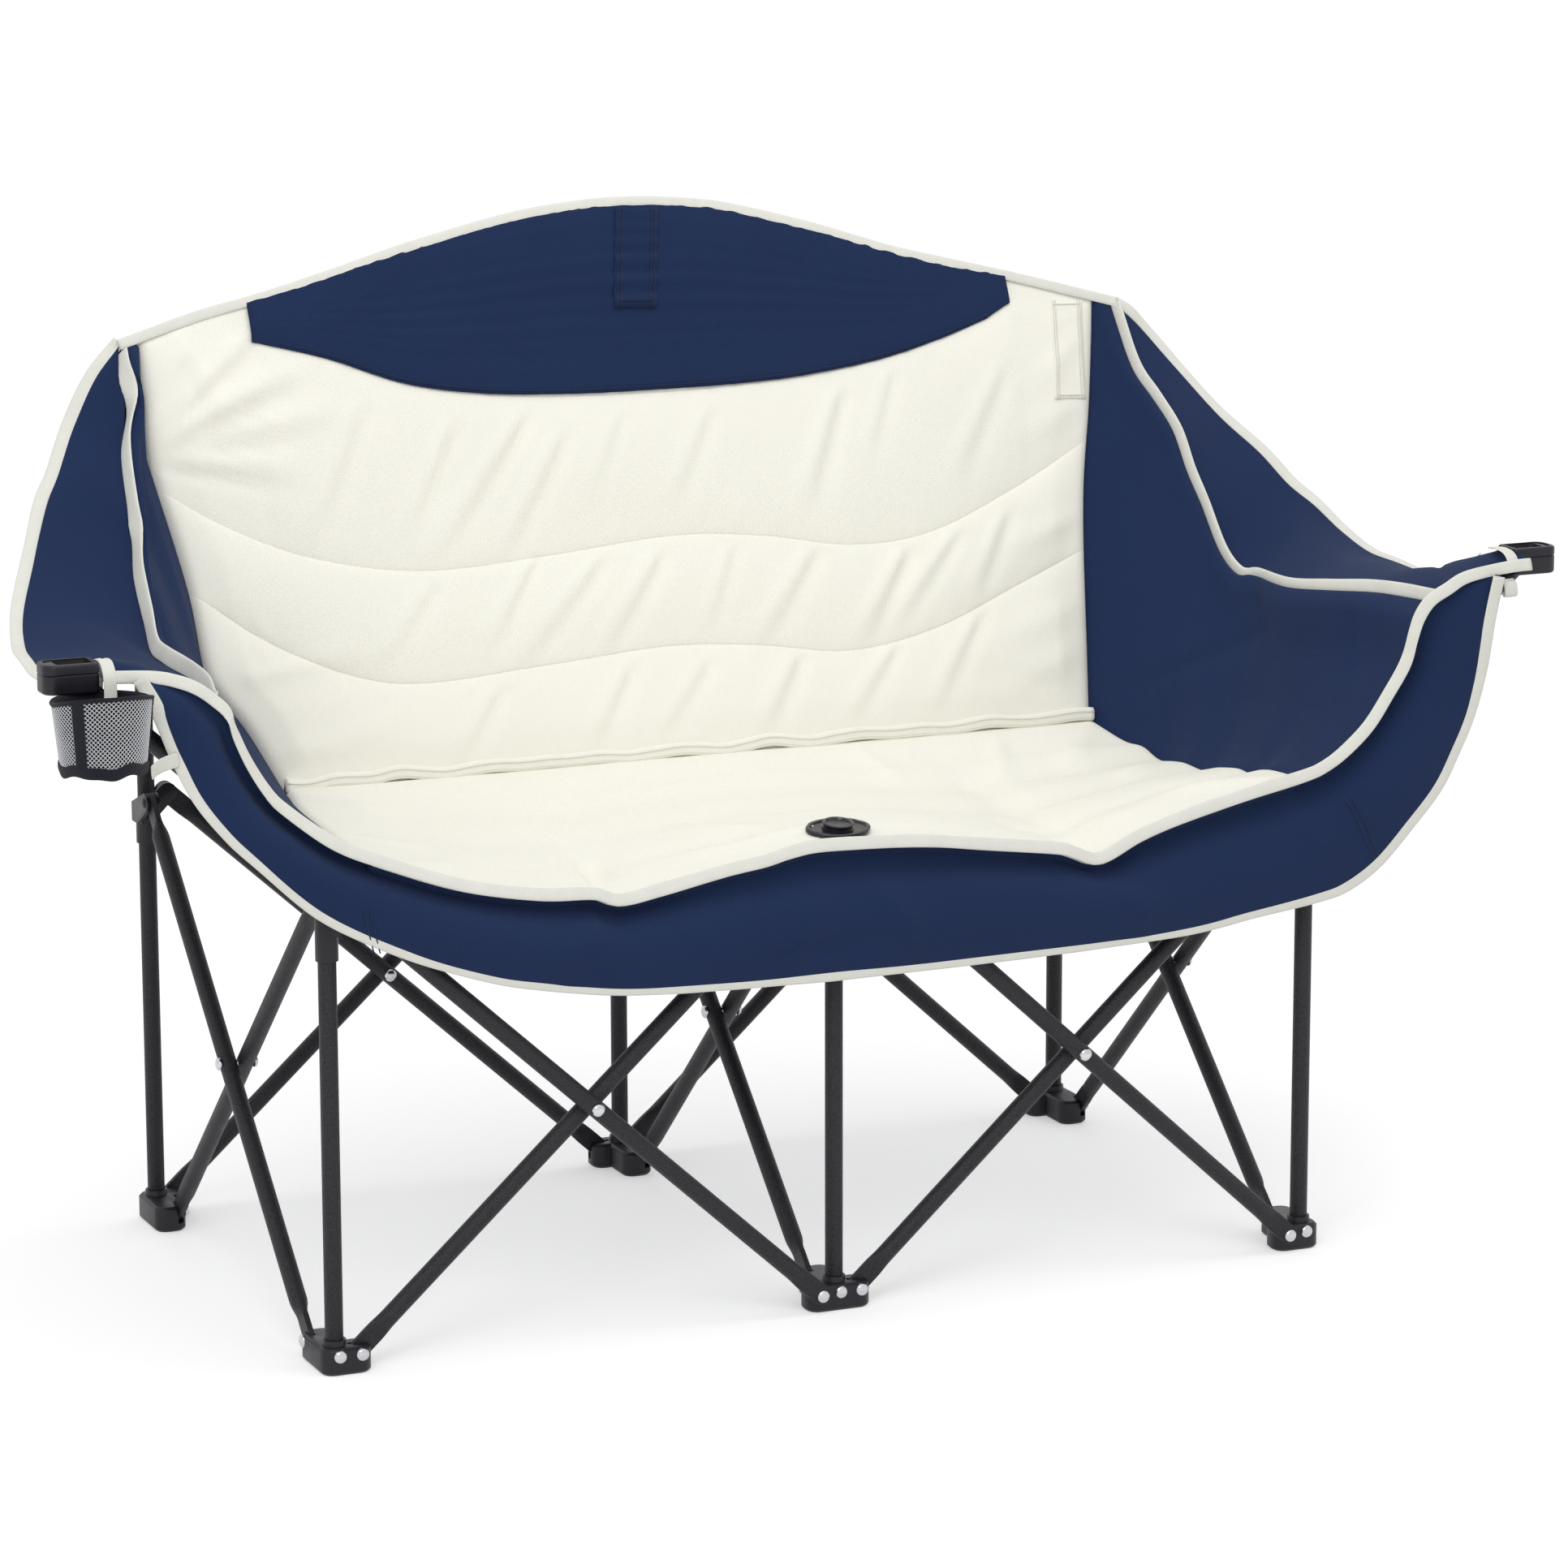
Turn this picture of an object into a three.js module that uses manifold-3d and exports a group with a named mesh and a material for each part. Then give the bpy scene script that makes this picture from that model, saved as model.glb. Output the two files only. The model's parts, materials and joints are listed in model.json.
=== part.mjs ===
import * as THREE from 'three';
import { mergeVertices } from 'three/addons/utils/BufferGeometryUtils.js';
import Module from 'manifold-3d';

// Folding two-seat camping chair, standing open on its six feet.
// Millimetres, +Z up, +Y to the rear, the sitter's left arm at +X.
// Local places are written from the front-middle post, and the whole chair is
// then set with its origin on the ground under the middle of its bounding box.

const wasm = await Module();
wasm.setup();

// Driving dimensions
const pivotSpan = 430;
const openRise = 392;
const pivotHeight = 17;
const pivotInsetX = 20;
const pivotInsetY = 41;
const tubeRadius = 8;
const tabHalfWidth = 9;
const tabHalfThickness = 2.5;
const tabLength = 20;
const tabFlare = 20;
const tabTurns = [1.15, 0.6, 0];
const tabSquareness = 0.45;
const flareSquareness = 0.75;
const tubeSides = 8;
const postSides = 14;
const pinSides = 8;
const runningGap = 0.3;
const slideGap = 0.4;
const rivetRadius = 3;
const rivetHeadRadius = 5.5;
const rivetHeadHeight = 3;
const overrun = 1;

const postSpacing = pivotSpan + 2 * pivotInsetX;
const postDepth = pivotSpan + 2 * pivotInsetY;
const hubHeight = pivotHeight + openRise;
const tubeSpan = Math.hypot(pivotSpan, openRise);
const openAngle = Math.atan2(pivotSpan, openRise);

// The two tubes of a crossed pair lie side by side, and the outer one clears the hubs.
const hubRadius = 10;
const layerGap = 1.5;
const nearLayer = -(hubRadius + tubeRadius + layerGap);
const midLayer = nearLayer + 2 * tubeRadius + runningGap;
const sideLayer = tubeRadius + runningGap / 2;

// Feet
const footHeight = 24;
const footCollarRadius = 10.3;
const footCollarHeight = 29;
const footFront = -nearLayer - tabHalfThickness - runningGap;
const footBack = 12;
const footOuter = 13;
const footArmEnd = pivotInsetX + tabHalfWidth + layerGap;
const footSideHalf = 15;
const footSideEnd = pivotInsetY + tabHalfWidth + layerGap;
const footRound = 9;
const footChamfer = 2.5;
const footFloor = 5;

// Posts and the rods that slide in the front ones
const rodRadius = 6;
const postBoreRadius = 6.6;
const postBoreFloor = 110;
const rodReach = 240;
const hubTop = 6;
const hubShoulder = 14;
const hubCuff = 46;
const rodTop = 8;
const frontPostTop = hubHeight - hubShoulder - runningGap;
const cornerPostTop = 822;
const middlePostTop = 926;
const postCapRadius = 9.6;
const postCapWall = 3;
const postCapSkirt = 16;

// Hub ears
const earRadius = 9;
const earWall = 3.4;
const earDrop = 24;
const earFootShare = 0.4;
const earTurns = [-0.5, 2.2];
const sideEarTurns = [-0.9, 1.885];
const sideBlockShare = 0.55;
const sideBlockDropShare = 0.5;

// Arms: the near-side tubes run on past the hubs and end in the arm caps
const armReach = 672;
const capGrip = 13;
const capLength = 47;
const capDepth = 33;
const capHeight = 25;
const capRound = 11;
const capEdge = 2.5;
const capHollowWidth = 30;
const capHollowDepth = 21;
const capHollowSink = 8;
const capHollowShare = 0.42;
const capRiseShare = 0.4;
const capInner = armReach;
const capRise = (capInner + capLength * capRiseShare - pivotInsetX) / Math.tan(openAngle);
const capLift = pivotHeight + capRise;

// Seat plate over the front-middle hub
const studRadius = 5;
const plateLength = 60;
const plateWidth = 44;
const plateThickness = 3;
const plateLift = 2.5;
const plateHoleGap = 0.8;
const knobRadius = 12;
const knobHeight = 6;
const knobRing = 2.2;
const knobStepShare = 0.5;
const knobGrooveShare = 0.35;

// Fabric body
const backTopZ = 835;
const backCrown = 111;
const backTopHalf = 500;
const seatRearShare = 0.59375;
const seatRearY = postDepth * seatRearShare;
const seatRearZ = 448;
const seatRearHalf = 405;
const seatMidShare = 0.3125;
const seatMidY = postDepth * seatMidShare;
const seatThickness = 12;
const backThickness = 22;
const panelThickness = 4;
const panelSetOff = 1.2;
const wingArch = 4;
const lensThickness = 2.4;
const frontEdgeY = -33;
const seatCornerX = 458;
const seatCornerZ = 452;
const seatCentreZ = 432;
const seatDipX = 236;
const seatDipZ = 398;
const seatSag = 14;
const seatPlateauHalf = 70;
const seamGap = 0.6;
const channelDepth = 5;
const backHollow = 10;
const channelWidth = 16;
const pocketHalf = 22;
const pocketDepthWall = 3;
const pocketFront = 2;
const cornerPocketDrop = 52;
const middlePocketDrop = 86;

// The recline brings the face of the back just in front of the middle post's cap.
const capFrontY = postDepth - postCapRadius - pocketFront;
const leanShare = (backTopZ - seatRearZ) / (middlePostTop + postCapWall - seatRearZ);
const backTopY = mix(seatRearY, capFrontY, leanShare);

const armFrontShare = 0.8631;
const armFrontX = armReach * armFrontShare;
const armFrontZ = 603;
const armTipShare = 0.49;
const armTipX = capInner - capLength * armTipShare;
const armTipZ = 622;
const bandThickness = 4;
const bandFrontY = -37.3;
const bandDepth = 13;
const bandCentreZ = 316;
const bandBulge = 14;
const bandTopSteps = 5;
const bandTipInset = 16;
const bandTipDrop = 10;

// Seam lines, as shares of the arm reach, the post depth and the hub height
const armInnerShares = [
  [0.7442, 0.871, 2.020],
  [0.7707, 0.762, 1.800],
  [0.7840, 0.645, 1.619],
  [0.7931, 0.512, 1.467],
  [0.8008, 0.352, 1.450],
  [0.8274, 0.141, 1.467],
];
const armOuterShares = [
  [0.7533, 0.893, 2.029],
  [0.8036, 0.871, 1.912],
  [0.8931, 0.734, 1.694],
  [0.9582, 0.586, 1.540],
  [0.9855, 0.430, 1.469],
  [0.9869, 0.254, 1.465],
  [0.9729, 0.098, 1.477],
];
const frontSeamShares = [
  [0.7707, -0.064, 1.200],
  [0.8260, -0.064, 1.335],
  [0.8456, -0.064, 1.430],
];
const hemLeftShares = [
  [-0.9155, 0.000, 1.340],
  [-0.8407, 0.000, 1.159],
  [-0.6994, 0.000, 0.949],
  [-0.5057, 0.000, 0.822],
  [-0.2378, 0.000, 0.778],
];
const hemRightShares = [
  [0.2378, 0.000, 0.773],
  [0.5057, 0.000, 0.802],
  [0.6994, 0.000, 0.895],
  [0.8407, 0.000, 1.066],
  [0.9197, 0.000, 1.281],
];

function atShares([x, y, z]) {
  return [x * armReach, y * postDepth, z * hubHeight];
}

// Cup holder
const cupRadius = 40;
const cupTaper = 6;
const cupHeight = 60;
const cupWall = 2;
const cupShare = 0.14;
const cupX = -(capInner + capLength * cupShare);

const charcoal = 0x303036;
const plasticBlack = 0x1c1b24;
const steel = 0xb9bcc0;
const navy = 0x1c2d55;
const cream = 0xf0ece0;
const meshGrey = 0x9a9ca0;

function material(color, roughness, metalness) {
  return new THREE.MeshStandardMaterial({ color, roughness, metalness });
}

const chair = new THREE.Group();

// Turns a closed three.js geometry into a solid, so that it can be joined and cut.
function solid(geometry) {
  const bare = geometry.index ? geometry.toNonIndexed() : geometry;
  bare.deleteAttribute('normal');
  bare.deleteAttribute('uv');
  const merged = mergeVertices(bare, 1e-4);
  const mesh = new wasm.Mesh({
    numProp: 3,
    vertProperties: new Float32Array(merged.attributes.position.array),
    triVerts: new Uint32Array(merged.index.array),
  });
  return new wasm.Manifold(mesh);
}

function geometryOf(manifold) {
  const mesh = manifold.getMesh();
  const geometry = new THREE.BufferGeometry();
  geometry.setAttribute('position', new THREE.BufferAttribute(mesh.vertProperties, 3));
  geometry.setIndex(new THREE.BufferAttribute(mesh.triVerts, 1));
  geometry.computeVertexNormals();
  return geometry;
}

function place(name, geometry, finish, parent) {
  const mesh = new THREE.Mesh(geometry, finish);
  mesh.name = name;
  parent.add(mesh);
  return mesh;
}

function box(x0, x1, y0, y1, z0, z1) {
  const geometry = new THREE.BoxGeometry(x1 - x0, y1 - y0, z1 - z0);
  geometry.translate((x0 + x1) / 2, (y0 + y1) / 2, (z0 + z1) / 2);
  return solid(geometry);
}

function rod(radius, length, sides) {
  return new THREE.CylinderGeometry(radius, radius, length, sides);
}

// A prism of the shape, drawn in XY and as deep as given along +Z.
function plainPrism(shape, depth, curveSegments = 5) {
  return new THREE.ExtrudeGeometry(shape, { depth, bevelEnabled: false, curveSegments });
}

// Upright cylinder from z0 to z1 at x, y.
function upright(radius, x, y, z0, z1, sides = postSides) {
  const geometry = rod(radius, z1 - z0, sides);
  geometry.rotateX(Math.PI / 2);
  geometry.translate(x, y, (z0 + z1) / 2);
  return solid(geometry);
}

// Cylinder along Y from y0 to y1.
function alongY(radius, x, z, y0, y1, sides = pinSides) {
  const geometry = rod(radius, y1 - y0, sides);
  geometry.translate(x, (y0 + y1) / 2, z);
  return solid(geometry);
}

function alongX(radius, y, z, x0, x1, sides = pinSides) {
  const geometry = rod(radius, x1 - x0, sides);
  geometry.rotateZ(Math.PI / 2);
  geometry.translate((x0 + x1) / 2, y, z);
  return solid(geometry);
}

// Domed rivet head on a lathe, its flat side at zero and its crown along +Y.
function rivetHead() {
  const profile = [new THREE.Vector2(0, 0)];
  profile.push(new THREE.Vector2(rivetHeadRadius, 0));
  profile.push(new THREE.Vector2(rivetHeadRadius * Math.cos(0.7), rivetHeadHeight * Math.sin(0.7)));
  profile.push(new THREE.Vector2(0, rivetHeadHeight));
  return new THREE.LatheGeometry(profile, pinSides);
}

function headAlongY(x, z, y, direction) {
  const geometry = rivetHead();
  if (direction < 0) geometry.rotateX(Math.PI);
  geometry.translate(x, y, z);
  return solid(geometry);
}

function headAlongX(x, y, z, direction) {
  const geometry = rivetHead();
  geometry.rotateZ(-direction * Math.PI / 2);
  geometry.translate(x, y, z);
  return solid(geometry);
}

// A closed solid through rings of points, each ring as long as the others.
function loft(rings) {
  const sides = rings[0].length;
  const positions = [];
  const index = [];
  rings.forEach((ring) => ring.forEach((p) => positions.push(p.x, p.y, p.z)));
  for (let r = 0; r + 1 < rings.length; r += 1) {
    for (let s = 0; s < sides; s += 1) {
      const a = r * sides + s;
      const b = r * sides + ((s + 1) % sides);
      index.push(a, b, b + sides, a, b + sides, a + sides);
    }
  }
  const last = (rings.length - 1) * sides;
  for (let s = 1; s + 1 < sides; s += 1) {
    index.push(0, s + 1, s);
    index.push(last, last + s, last + s + 1);
  }
  const geometry = new THREE.BufferGeometry();
  geometry.setAttribute('position', new THREE.Float32BufferAttribute(positions, 3));
  geometry.setIndex(index);
  return geometry;
}

// One section of a tube, from round to pressed flat: the flat faces look along Y.
function section(z, halfWidth, halfThickness, squareness) {
  const ring = [];
  for (let s = 0; s < tubeSides; s += 1) {
    const angle = (s + 0.5) * 2 * Math.PI / tubeSides;
    const c = Math.cos(angle);
    const d = Math.sin(angle);
    const x = halfWidth * Math.sign(c) * Math.abs(c) ** squareness;
    const y = halfThickness * Math.sign(d) * Math.abs(d) ** squareness;
    ring.push(new THREE.Vector3(x, y, z));
  }
  return ring;
}

// Rings of a pressed tube end whose pivot is at z = pivot, pointing to the given side.
function tabRings(pivot, direction) {
  const rings = [];
  for (const turn of tabTurns) {
    const width = tabHalfWidth * Math.cos(turn);
    const z = pivot + direction * tabHalfWidth * Math.sin(turn);
    rings.push(section(z, width, tabHalfThickness, tabSquareness));
  }
  const tabEnd = pivot - direction * tabLength;
  rings.push(section(tabEnd, tabHalfWidth, tabHalfThickness, tabSquareness));
  const roundStart = tabEnd - direction * tabFlare;
  const flareWidth = (tabHalfWidth + tubeRadius) / 2;
  const flareThickness = (tabHalfThickness + tubeRadius) / 2;
  rings.push(section((tabEnd + roundStart) / 2, flareWidth, flareThickness, flareSquareness));
  rings.push(section(roundStart, tubeRadius, tubeRadius, 1));
  return rings;
}

// A cross tube along +Z from its lower pivot, with its pin holes along Y.
function crossTube(armLength) {
  const lower = tabRings(0, -1);
  const upper = armLength
    ? [section(armLength, tubeRadius, tubeRadius, 1)]
    : tabRings(tubeSpan, 1).reverse();
  const body = solid(loft([...lower, ...upper]));
  const holes = [0, tubeSpan / 2, tubeSpan].map((z) => {
    return alongY(rivetRadius + runningGap, 0, z, -tubeRadius - overrun, tubeRadius + overrun);
  });
  return holes.reduce((tube, hole) => tube.subtract(hole), body);
}

// A prism with rounded corners and a chamfered underside, standing from z0 to z1.
function roundedBlock(x0, x1, y0, y1, z0, z1, round, chamfer) {
  const shape = new THREE.Shape();
  const inset = chamfer;
  const [a, b, c, d] = [x0 + inset, x1 - inset, y0 + inset, y1 - inset];
  shape.moveTo(a + round, c);
  shape.lineTo(b - round, c);
  shape.absarc(b - round, c + round, round, -Math.PI / 2, 0);
  shape.absarc(b - round, d - round, round, 0, Math.PI / 2);
  shape.absarc(a + round, d - round, round, Math.PI / 2, Math.PI);
  shape.absarc(a + round, c + round, round, Math.PI, 1.5 * Math.PI);
  const geometry = new THREE.ExtrudeGeometry(shape, {
    depth: z1 - z0 - 2 * chamfer,
    curveSegments: 2,
    bevelThickness: chamfer,
    bevelSize: chamfer,
    bevelSegments: 1,
  });
  geometry.translate(0, 0, z0 + chamfer);
  return solid(geometry);
}

function footBlock(x0, x1, back) {
  return roundedBlock(x0, x1, -footFront, back, 0, footHeight, footRound, footChamfer);
}

// Foot moulding round a post at the local origin. ears: the tubes pinned beside the post.
function footSolid(ears) {
  const reach = (side) => (ears.some((ear) => ear.side === side) ? footArmEnd : footOuter);
  let foot = footBlock(-reach(-1), reach(1), footBack);
  foot = foot.add(footBlock(-footSideHalf, footSideHalf, footSideEnd));
  foot = foot.add(upright(footCollarRadius, 0, 0, footHeight - overrun, footCollarHeight));
  foot = foot.subtract(upright(tubeRadius + runningGap, 0, 0, footFloor, footCollarHeight + overrun));
  const low = pivotHeight - tabHalfWidth - runningGap;
  const high = footCollarHeight + overrun;
  const half = tabHalfThickness + runningGap;
  const near = tabHalfWidth + runningGap;
  for (const ear of ears) {
    const x = ear.side * pivotInsetX;
    const inner = ear.side * (pivotInsetX - near);
    const outer = ear.side * (footArmEnd + overrun);
    const [x0, x1] = [Math.min(inner, outer), Math.max(inner, outer)];
    if (ear.layer === midLayer) {
      foot = foot.subtract(box(x0, x1, midLayer - half, midLayer + half, low, high));
      const back = midLayer + half + overrun;
      foot = foot.add(alongY(rivetRadius, x, pivotHeight, midLayer - half - overrun, back));
      foot = foot.add(headAlongY(x, pivotHeight, -footFront + runningGap, -1));
    } else {
      const front = nearLayer - half;
      foot = foot.add(alongY(rivetRadius, x, pivotHeight, front - overrun, -footFront + overrun));
      foot = foot.add(headAlongY(x, pivotHeight, front, -1));
    }
  }
  const slotFront = pivotInsetY - near;
  const slotBack = footSideEnd + overrun;
  const slot = box(-sideLayer - half, -sideLayer + half, slotFront, slotBack, low, high);
  foot = foot.subtract(slot);
  const pinHalf = footSideHalf - overrun;
  foot = foot.add(alongX(rivetRadius, pivotInsetY, pivotHeight, -pinHalf, pinHalf));
  foot = foot.add(headAlongX(-footSideHalf + runningGap, pivotInsetY, pivotHeight, -1));
  foot = foot.add(headAlongY(0, pivotHeight, -footFront + runningGap, -1));
  return foot;
}

// Outline of an ear: a disc on the pivot with a web down to the barrel.
function earShape(pivotInset, [start, end]) {
  const shape = new THREE.Shape();
  shape.moveTo(0, -earDrop);
  shape.lineTo(pivotInset * earFootShare, -earDrop);
  shape.lineTo(pivotInset + earRadius * Math.cos(start), earRadius * Math.sin(start));
  shape.absarc(pivotInset, 0, earRadius, start, end);
  shape.lineTo(0, -hubTop);
  return shape;
}

// Ear plate beside a hub, in the XZ plane.
function earPlate(side, y0, y1) {
  const geometry = plainPrism(earShape(pivotInsetX, earTurns), y1 - y0);
  geometry.rotateX(Math.PI / 2);
  geometry.translate(0, y1, 0);
  const plate = solid(geometry);
  return side > 0 ? plate : plate.mirror([1, 0, 0]);
}

// Ear plate in the YZ plane for the tube that runs to the other row.
function sidePlate(x0, x1) {
  const geometry = plainPrism(earShape(pivotInsetY, sideEarTurns), x1 - x0);
  geometry.rotateX(Math.PI / 2);
  geometry.rotateZ(Math.PI / 2);
  geometry.translate(x0, 0, 0);
  return solid(geometry);
}

// Sliding hub, written from its pivot height. ears name the tubes pinned beside the post.
function hubSolid(ears, rodded) {
  const half = tabHalfThickness + runningGap;
  let hub = upright(hubRadius, 0, 0, -hubCuff, -hubTop);
  for (const ear of ears) {
    const x = ear.side * pivotInsetX;
    const room = ear.through ? tubeRadius + runningGap : half;
    if (ear.layer === midLayer) {
      const front = midLayer - room;
      const back = midLayer + room;
      hub = hub.add(earPlate(ear.side, front - earWall, front));
      hub = hub.add(earPlate(ear.side, back, back + earWall));
      const web = pivotInsetX - tabHalfWidth - layerGap;
      const [x0, x1] = ear.side > 0 ? [0, web] : [-web, 0];
      hub = hub.add(box(x0, x1, front - overrun, back + overrun, -earDrop, -hubTop - earWall / 2));
      hub = hub.add(alongY(rivetRadius, x, 0, front - overrun, back + overrun));
      hub = hub.add(headAlongY(x, 0, front - earWall + runningGap, -1));
    } else {
      const front = nearLayer + room;
      hub = hub.add(earPlate(ear.side, front, -hubRadius / 2));
      hub = hub.add(alongY(rivetRadius, x, 0, nearLayer - room - overrun, front + overrun));
      hub = hub.add(headAlongY(x, 0, nearLayer - room, -1));
    }
  }
  const inner = sideLayer - half;
  const outer = sideLayer + half;
  hub = hub.add(sidePlate(inner - earWall, inner));
  hub = hub.add(sidePlate(outer, outer + earWall));
  const blockEnd = pivotInsetY * sideBlockShare;
  const blockTop = -earDrop * sideBlockDropShare;
  hub = hub.add(box(inner - overrun, outer + overrun, 0, blockEnd, -earDrop, blockTop));
  hub = hub.add(alongX(rivetRadius, pivotInsetY, 0, inner - overrun, outer + overrun));
  hub = hub.add(headAlongX(outer + earWall - runningGap, pivotInsetY, 0, 1));
  const bore = tubeRadius + slideGap;
  if (rodded) {
    hub = hub.subtract(upright(bore, 0, 0, -hubCuff - overrun, -hubShoulder));
    hub = hub.subtract(upright(rodRadius + runningGap, 0, 0, -hubCuff, -rodTop));
  } else {
    hub = hub.subtract(upright(bore, 0, 0, -hubCuff - overrun, earRadius + overrun));
  }
  return hub;
}

const paint = material(charcoal, 0.55, 0.6);
const plastic = material(plasticBlack, 0.5, 0);
const bright = material(steel, 0.3, 1);
const navyCloth = material(navy, 0.85, 0);
const creamCloth = material(cream, 0.9, 0);
const netting = material(meshGrey, 0.8, 0);

// The two rows are one casting set: the rear row is the front row turned half round.
const rows = {
  front: { turn: 0, y: 0, columns: { left: -1, middle: 0, right: 1 } },
  rear: { turn: Math.PI, y: postDepth, columns: { right: -1, middle: 0, left: 1 } },
};
const footEars = {
  [-1]: [{ side: 1, layer: midLayer }],
  0: [{ side: -1, layer: nearLayer }, { side: 1, layer: midLayer }],
  1: [{ side: -1, layer: nearLayer }],
};

function hubEars(column, through) {
  if (column < 0) return [{ side: 1, layer: nearLayer, through }];
  if (column > 0) return [{ side: -1, layer: midLayer, through }];
  return [{ side: -1, layer: midLayer }, { side: 1, layer: nearLayer }];
}

function frontPost() {
  const tube = upright(tubeRadius, 0, 0, footFloor + runningGap, frontPostTop);
  return tube.subtract(upright(postBoreRadius, 0, 0, postBoreFloor, frontPostTop + overrun));
}

function postCap(top) {
  const shell = upright(postCapRadius, 0, 0, top - postCapSkirt, top + postCapWall);
  const low = top - postCapSkirt - overrun;
  return shell.subtract(upright(tubeRadius + runningGap, 0, 0, low, top + runningGap));
}

for (const [row, { turn, y, columns }] of Object.entries(rows)) {
  const rowGroup = new THREE.Group();
  rowGroup.position.y = y;
  rowGroup.rotation.z = turn;
  chair.add(rowGroup);
  for (const [column, step] of Object.entries(columns)) {
    const legGroup = new THREE.Group();
    legGroup.position.x = step * postSpacing;
    rowGroup.add(legGroup);
    const name = `${row}_${column}`;
    place(`foot_${name}`, geometryOf(footSolid(footEars[step])), plastic, legGroup);
    const front = row === 'front';
    let hub = hubSolid(hubEars(step, front), front);
    if (front) {
      place(`post_${name}`, geometryOf(frontPost()), paint, legGroup);
      const slide = upright(rodRadius, 0, 0, hubHeight - rodReach, hubHeight - rodTop - runningGap);
      place(`slide_rod_${name}`, geometryOf(slide), bright, legGroup);
      if (step === 0) {
        const studTop = seatCentreZ + plateThickness - hubHeight;
        hub = hub.add(upright(studRadius, 0, 0, -hubTop - overrun, studTop));
      }
    } else {
      const top = step === 0 ? middlePostTop : cornerPostTop;
      const post = upright(tubeRadius, 0, 0, footFloor + runningGap, top);
      place(`post_${name}`, geometryOf(post), paint, legGroup);
      place(`post_cap_${name}`, geometryOf(postCap(top)), plastic, legGroup);
    }
    const hubMesh = place(`hub_${name}`, geometryOf(hub), plastic, legGroup);
    hubMesh.position.z = hubHeight;
  }
}

// Cross tubes. A pair is two equal tubes, riveted at their middles.
const plainTube = geometryOf(crossTube(0));
const armTubeLength = (capInner + capGrip - pivotInsetX) / Math.sin(openAngle);
const armTube = geometryOf(crossTube(armTubeLength));

// A tube in a row's plane: it leans to the side given, from a pivot at x in its layer.
function rowTube(name, geometry, parent, x, layer, lean) {
  const mesh = place(name, geometry, paint, parent);
  mesh.position.set(x, layer, pivotHeight);
  mesh.rotation.y = lean * openAngle;
}

// A tube between the rows: it leans to the rear or to the front from its pivot.
function sideTube(name, x, y, lean) {
  const holder = new THREE.Group();
  holder.position.set(x, y, pivotHeight);
  holder.rotation.x = -lean * openAngle;
  chair.add(holder);
  const mesh = place(name, plainTube, paint, holder);
  mesh.rotation.z = -Math.PI / 2;
}

// A rivet through both tubes of a crossed pair, headed on both sides.
function crossingRivet() {
  const half = 2 * tubeRadius + runningGap / 2 + runningGap;
  const shank = alongY(rivetRadius, 0, 0, -half - overrun / 2, half + overrun / 2);
  return geometryOf(shank.add(headAlongY(0, 0, -half, -1)).add(headAlongY(0, 0, half, 1)));
}

const rivet = crossingRivet();
const crossingHeight = pivotHeight + openRise / 2;
const betweenLayers = (nearLayer + midLayer) / 2;

for (const [row, { turn, y }] of Object.entries(rows)) {
  const rowGroup = new THREE.Group();
  rowGroup.position.y = y;
  rowGroup.rotation.z = turn;
  chair.add(rowGroup);
  const front = row === 'front';
  const [first, second] = front ? ['left', 'right'] : ['right', 'left'];
  const longTube = front ? armTube : plainTube;
  const inset = pivotInsetX;
  const far = postSpacing - pivotInsetX;
  rowTube(front ? 'arm_tube_left' : 'rear_tube_inner_right', longTube, rowGroup, -inset, nearLayer, -1);
  rowTube(`${row}_tube_outer_${first}`, plainTube, rowGroup, -far, midLayer, 1);
  rowTube(front ? 'arm_tube_right' : 'rear_tube_inner_left', longTube, rowGroup, inset, midLayer, 1);
  rowTube(`${row}_tube_outer_${second}`, plainTube, rowGroup, far, nearLayer, -1);
  for (const [side, label] of [[-1, first], [1, second]]) {
    const mesh = place(`rivet_${row}_${label}`, rivet, bright, rowGroup);
    mesh.position.set(side * postSpacing / 2, betweenLayers, crossingHeight);
  }
}

for (const [column, side] of [['left', -1], ['middle', 0], ['right', 1]]) {
  const x = side * postSpacing;
  sideTube(`side_tube_rearward_${column}`, x - sideLayer, pivotInsetY, 1);
  sideTube(`side_tube_forward_${column}`, x + sideLayer, postDepth - pivotInsetY, -1);
  const mesh = place(`rivet_side_${column}`, rivet, bright, chair);
  mesh.position.set(x, postDepth / 2, crossingHeight);
  mesh.rotation.z = Math.PI / 2;
}

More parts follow.
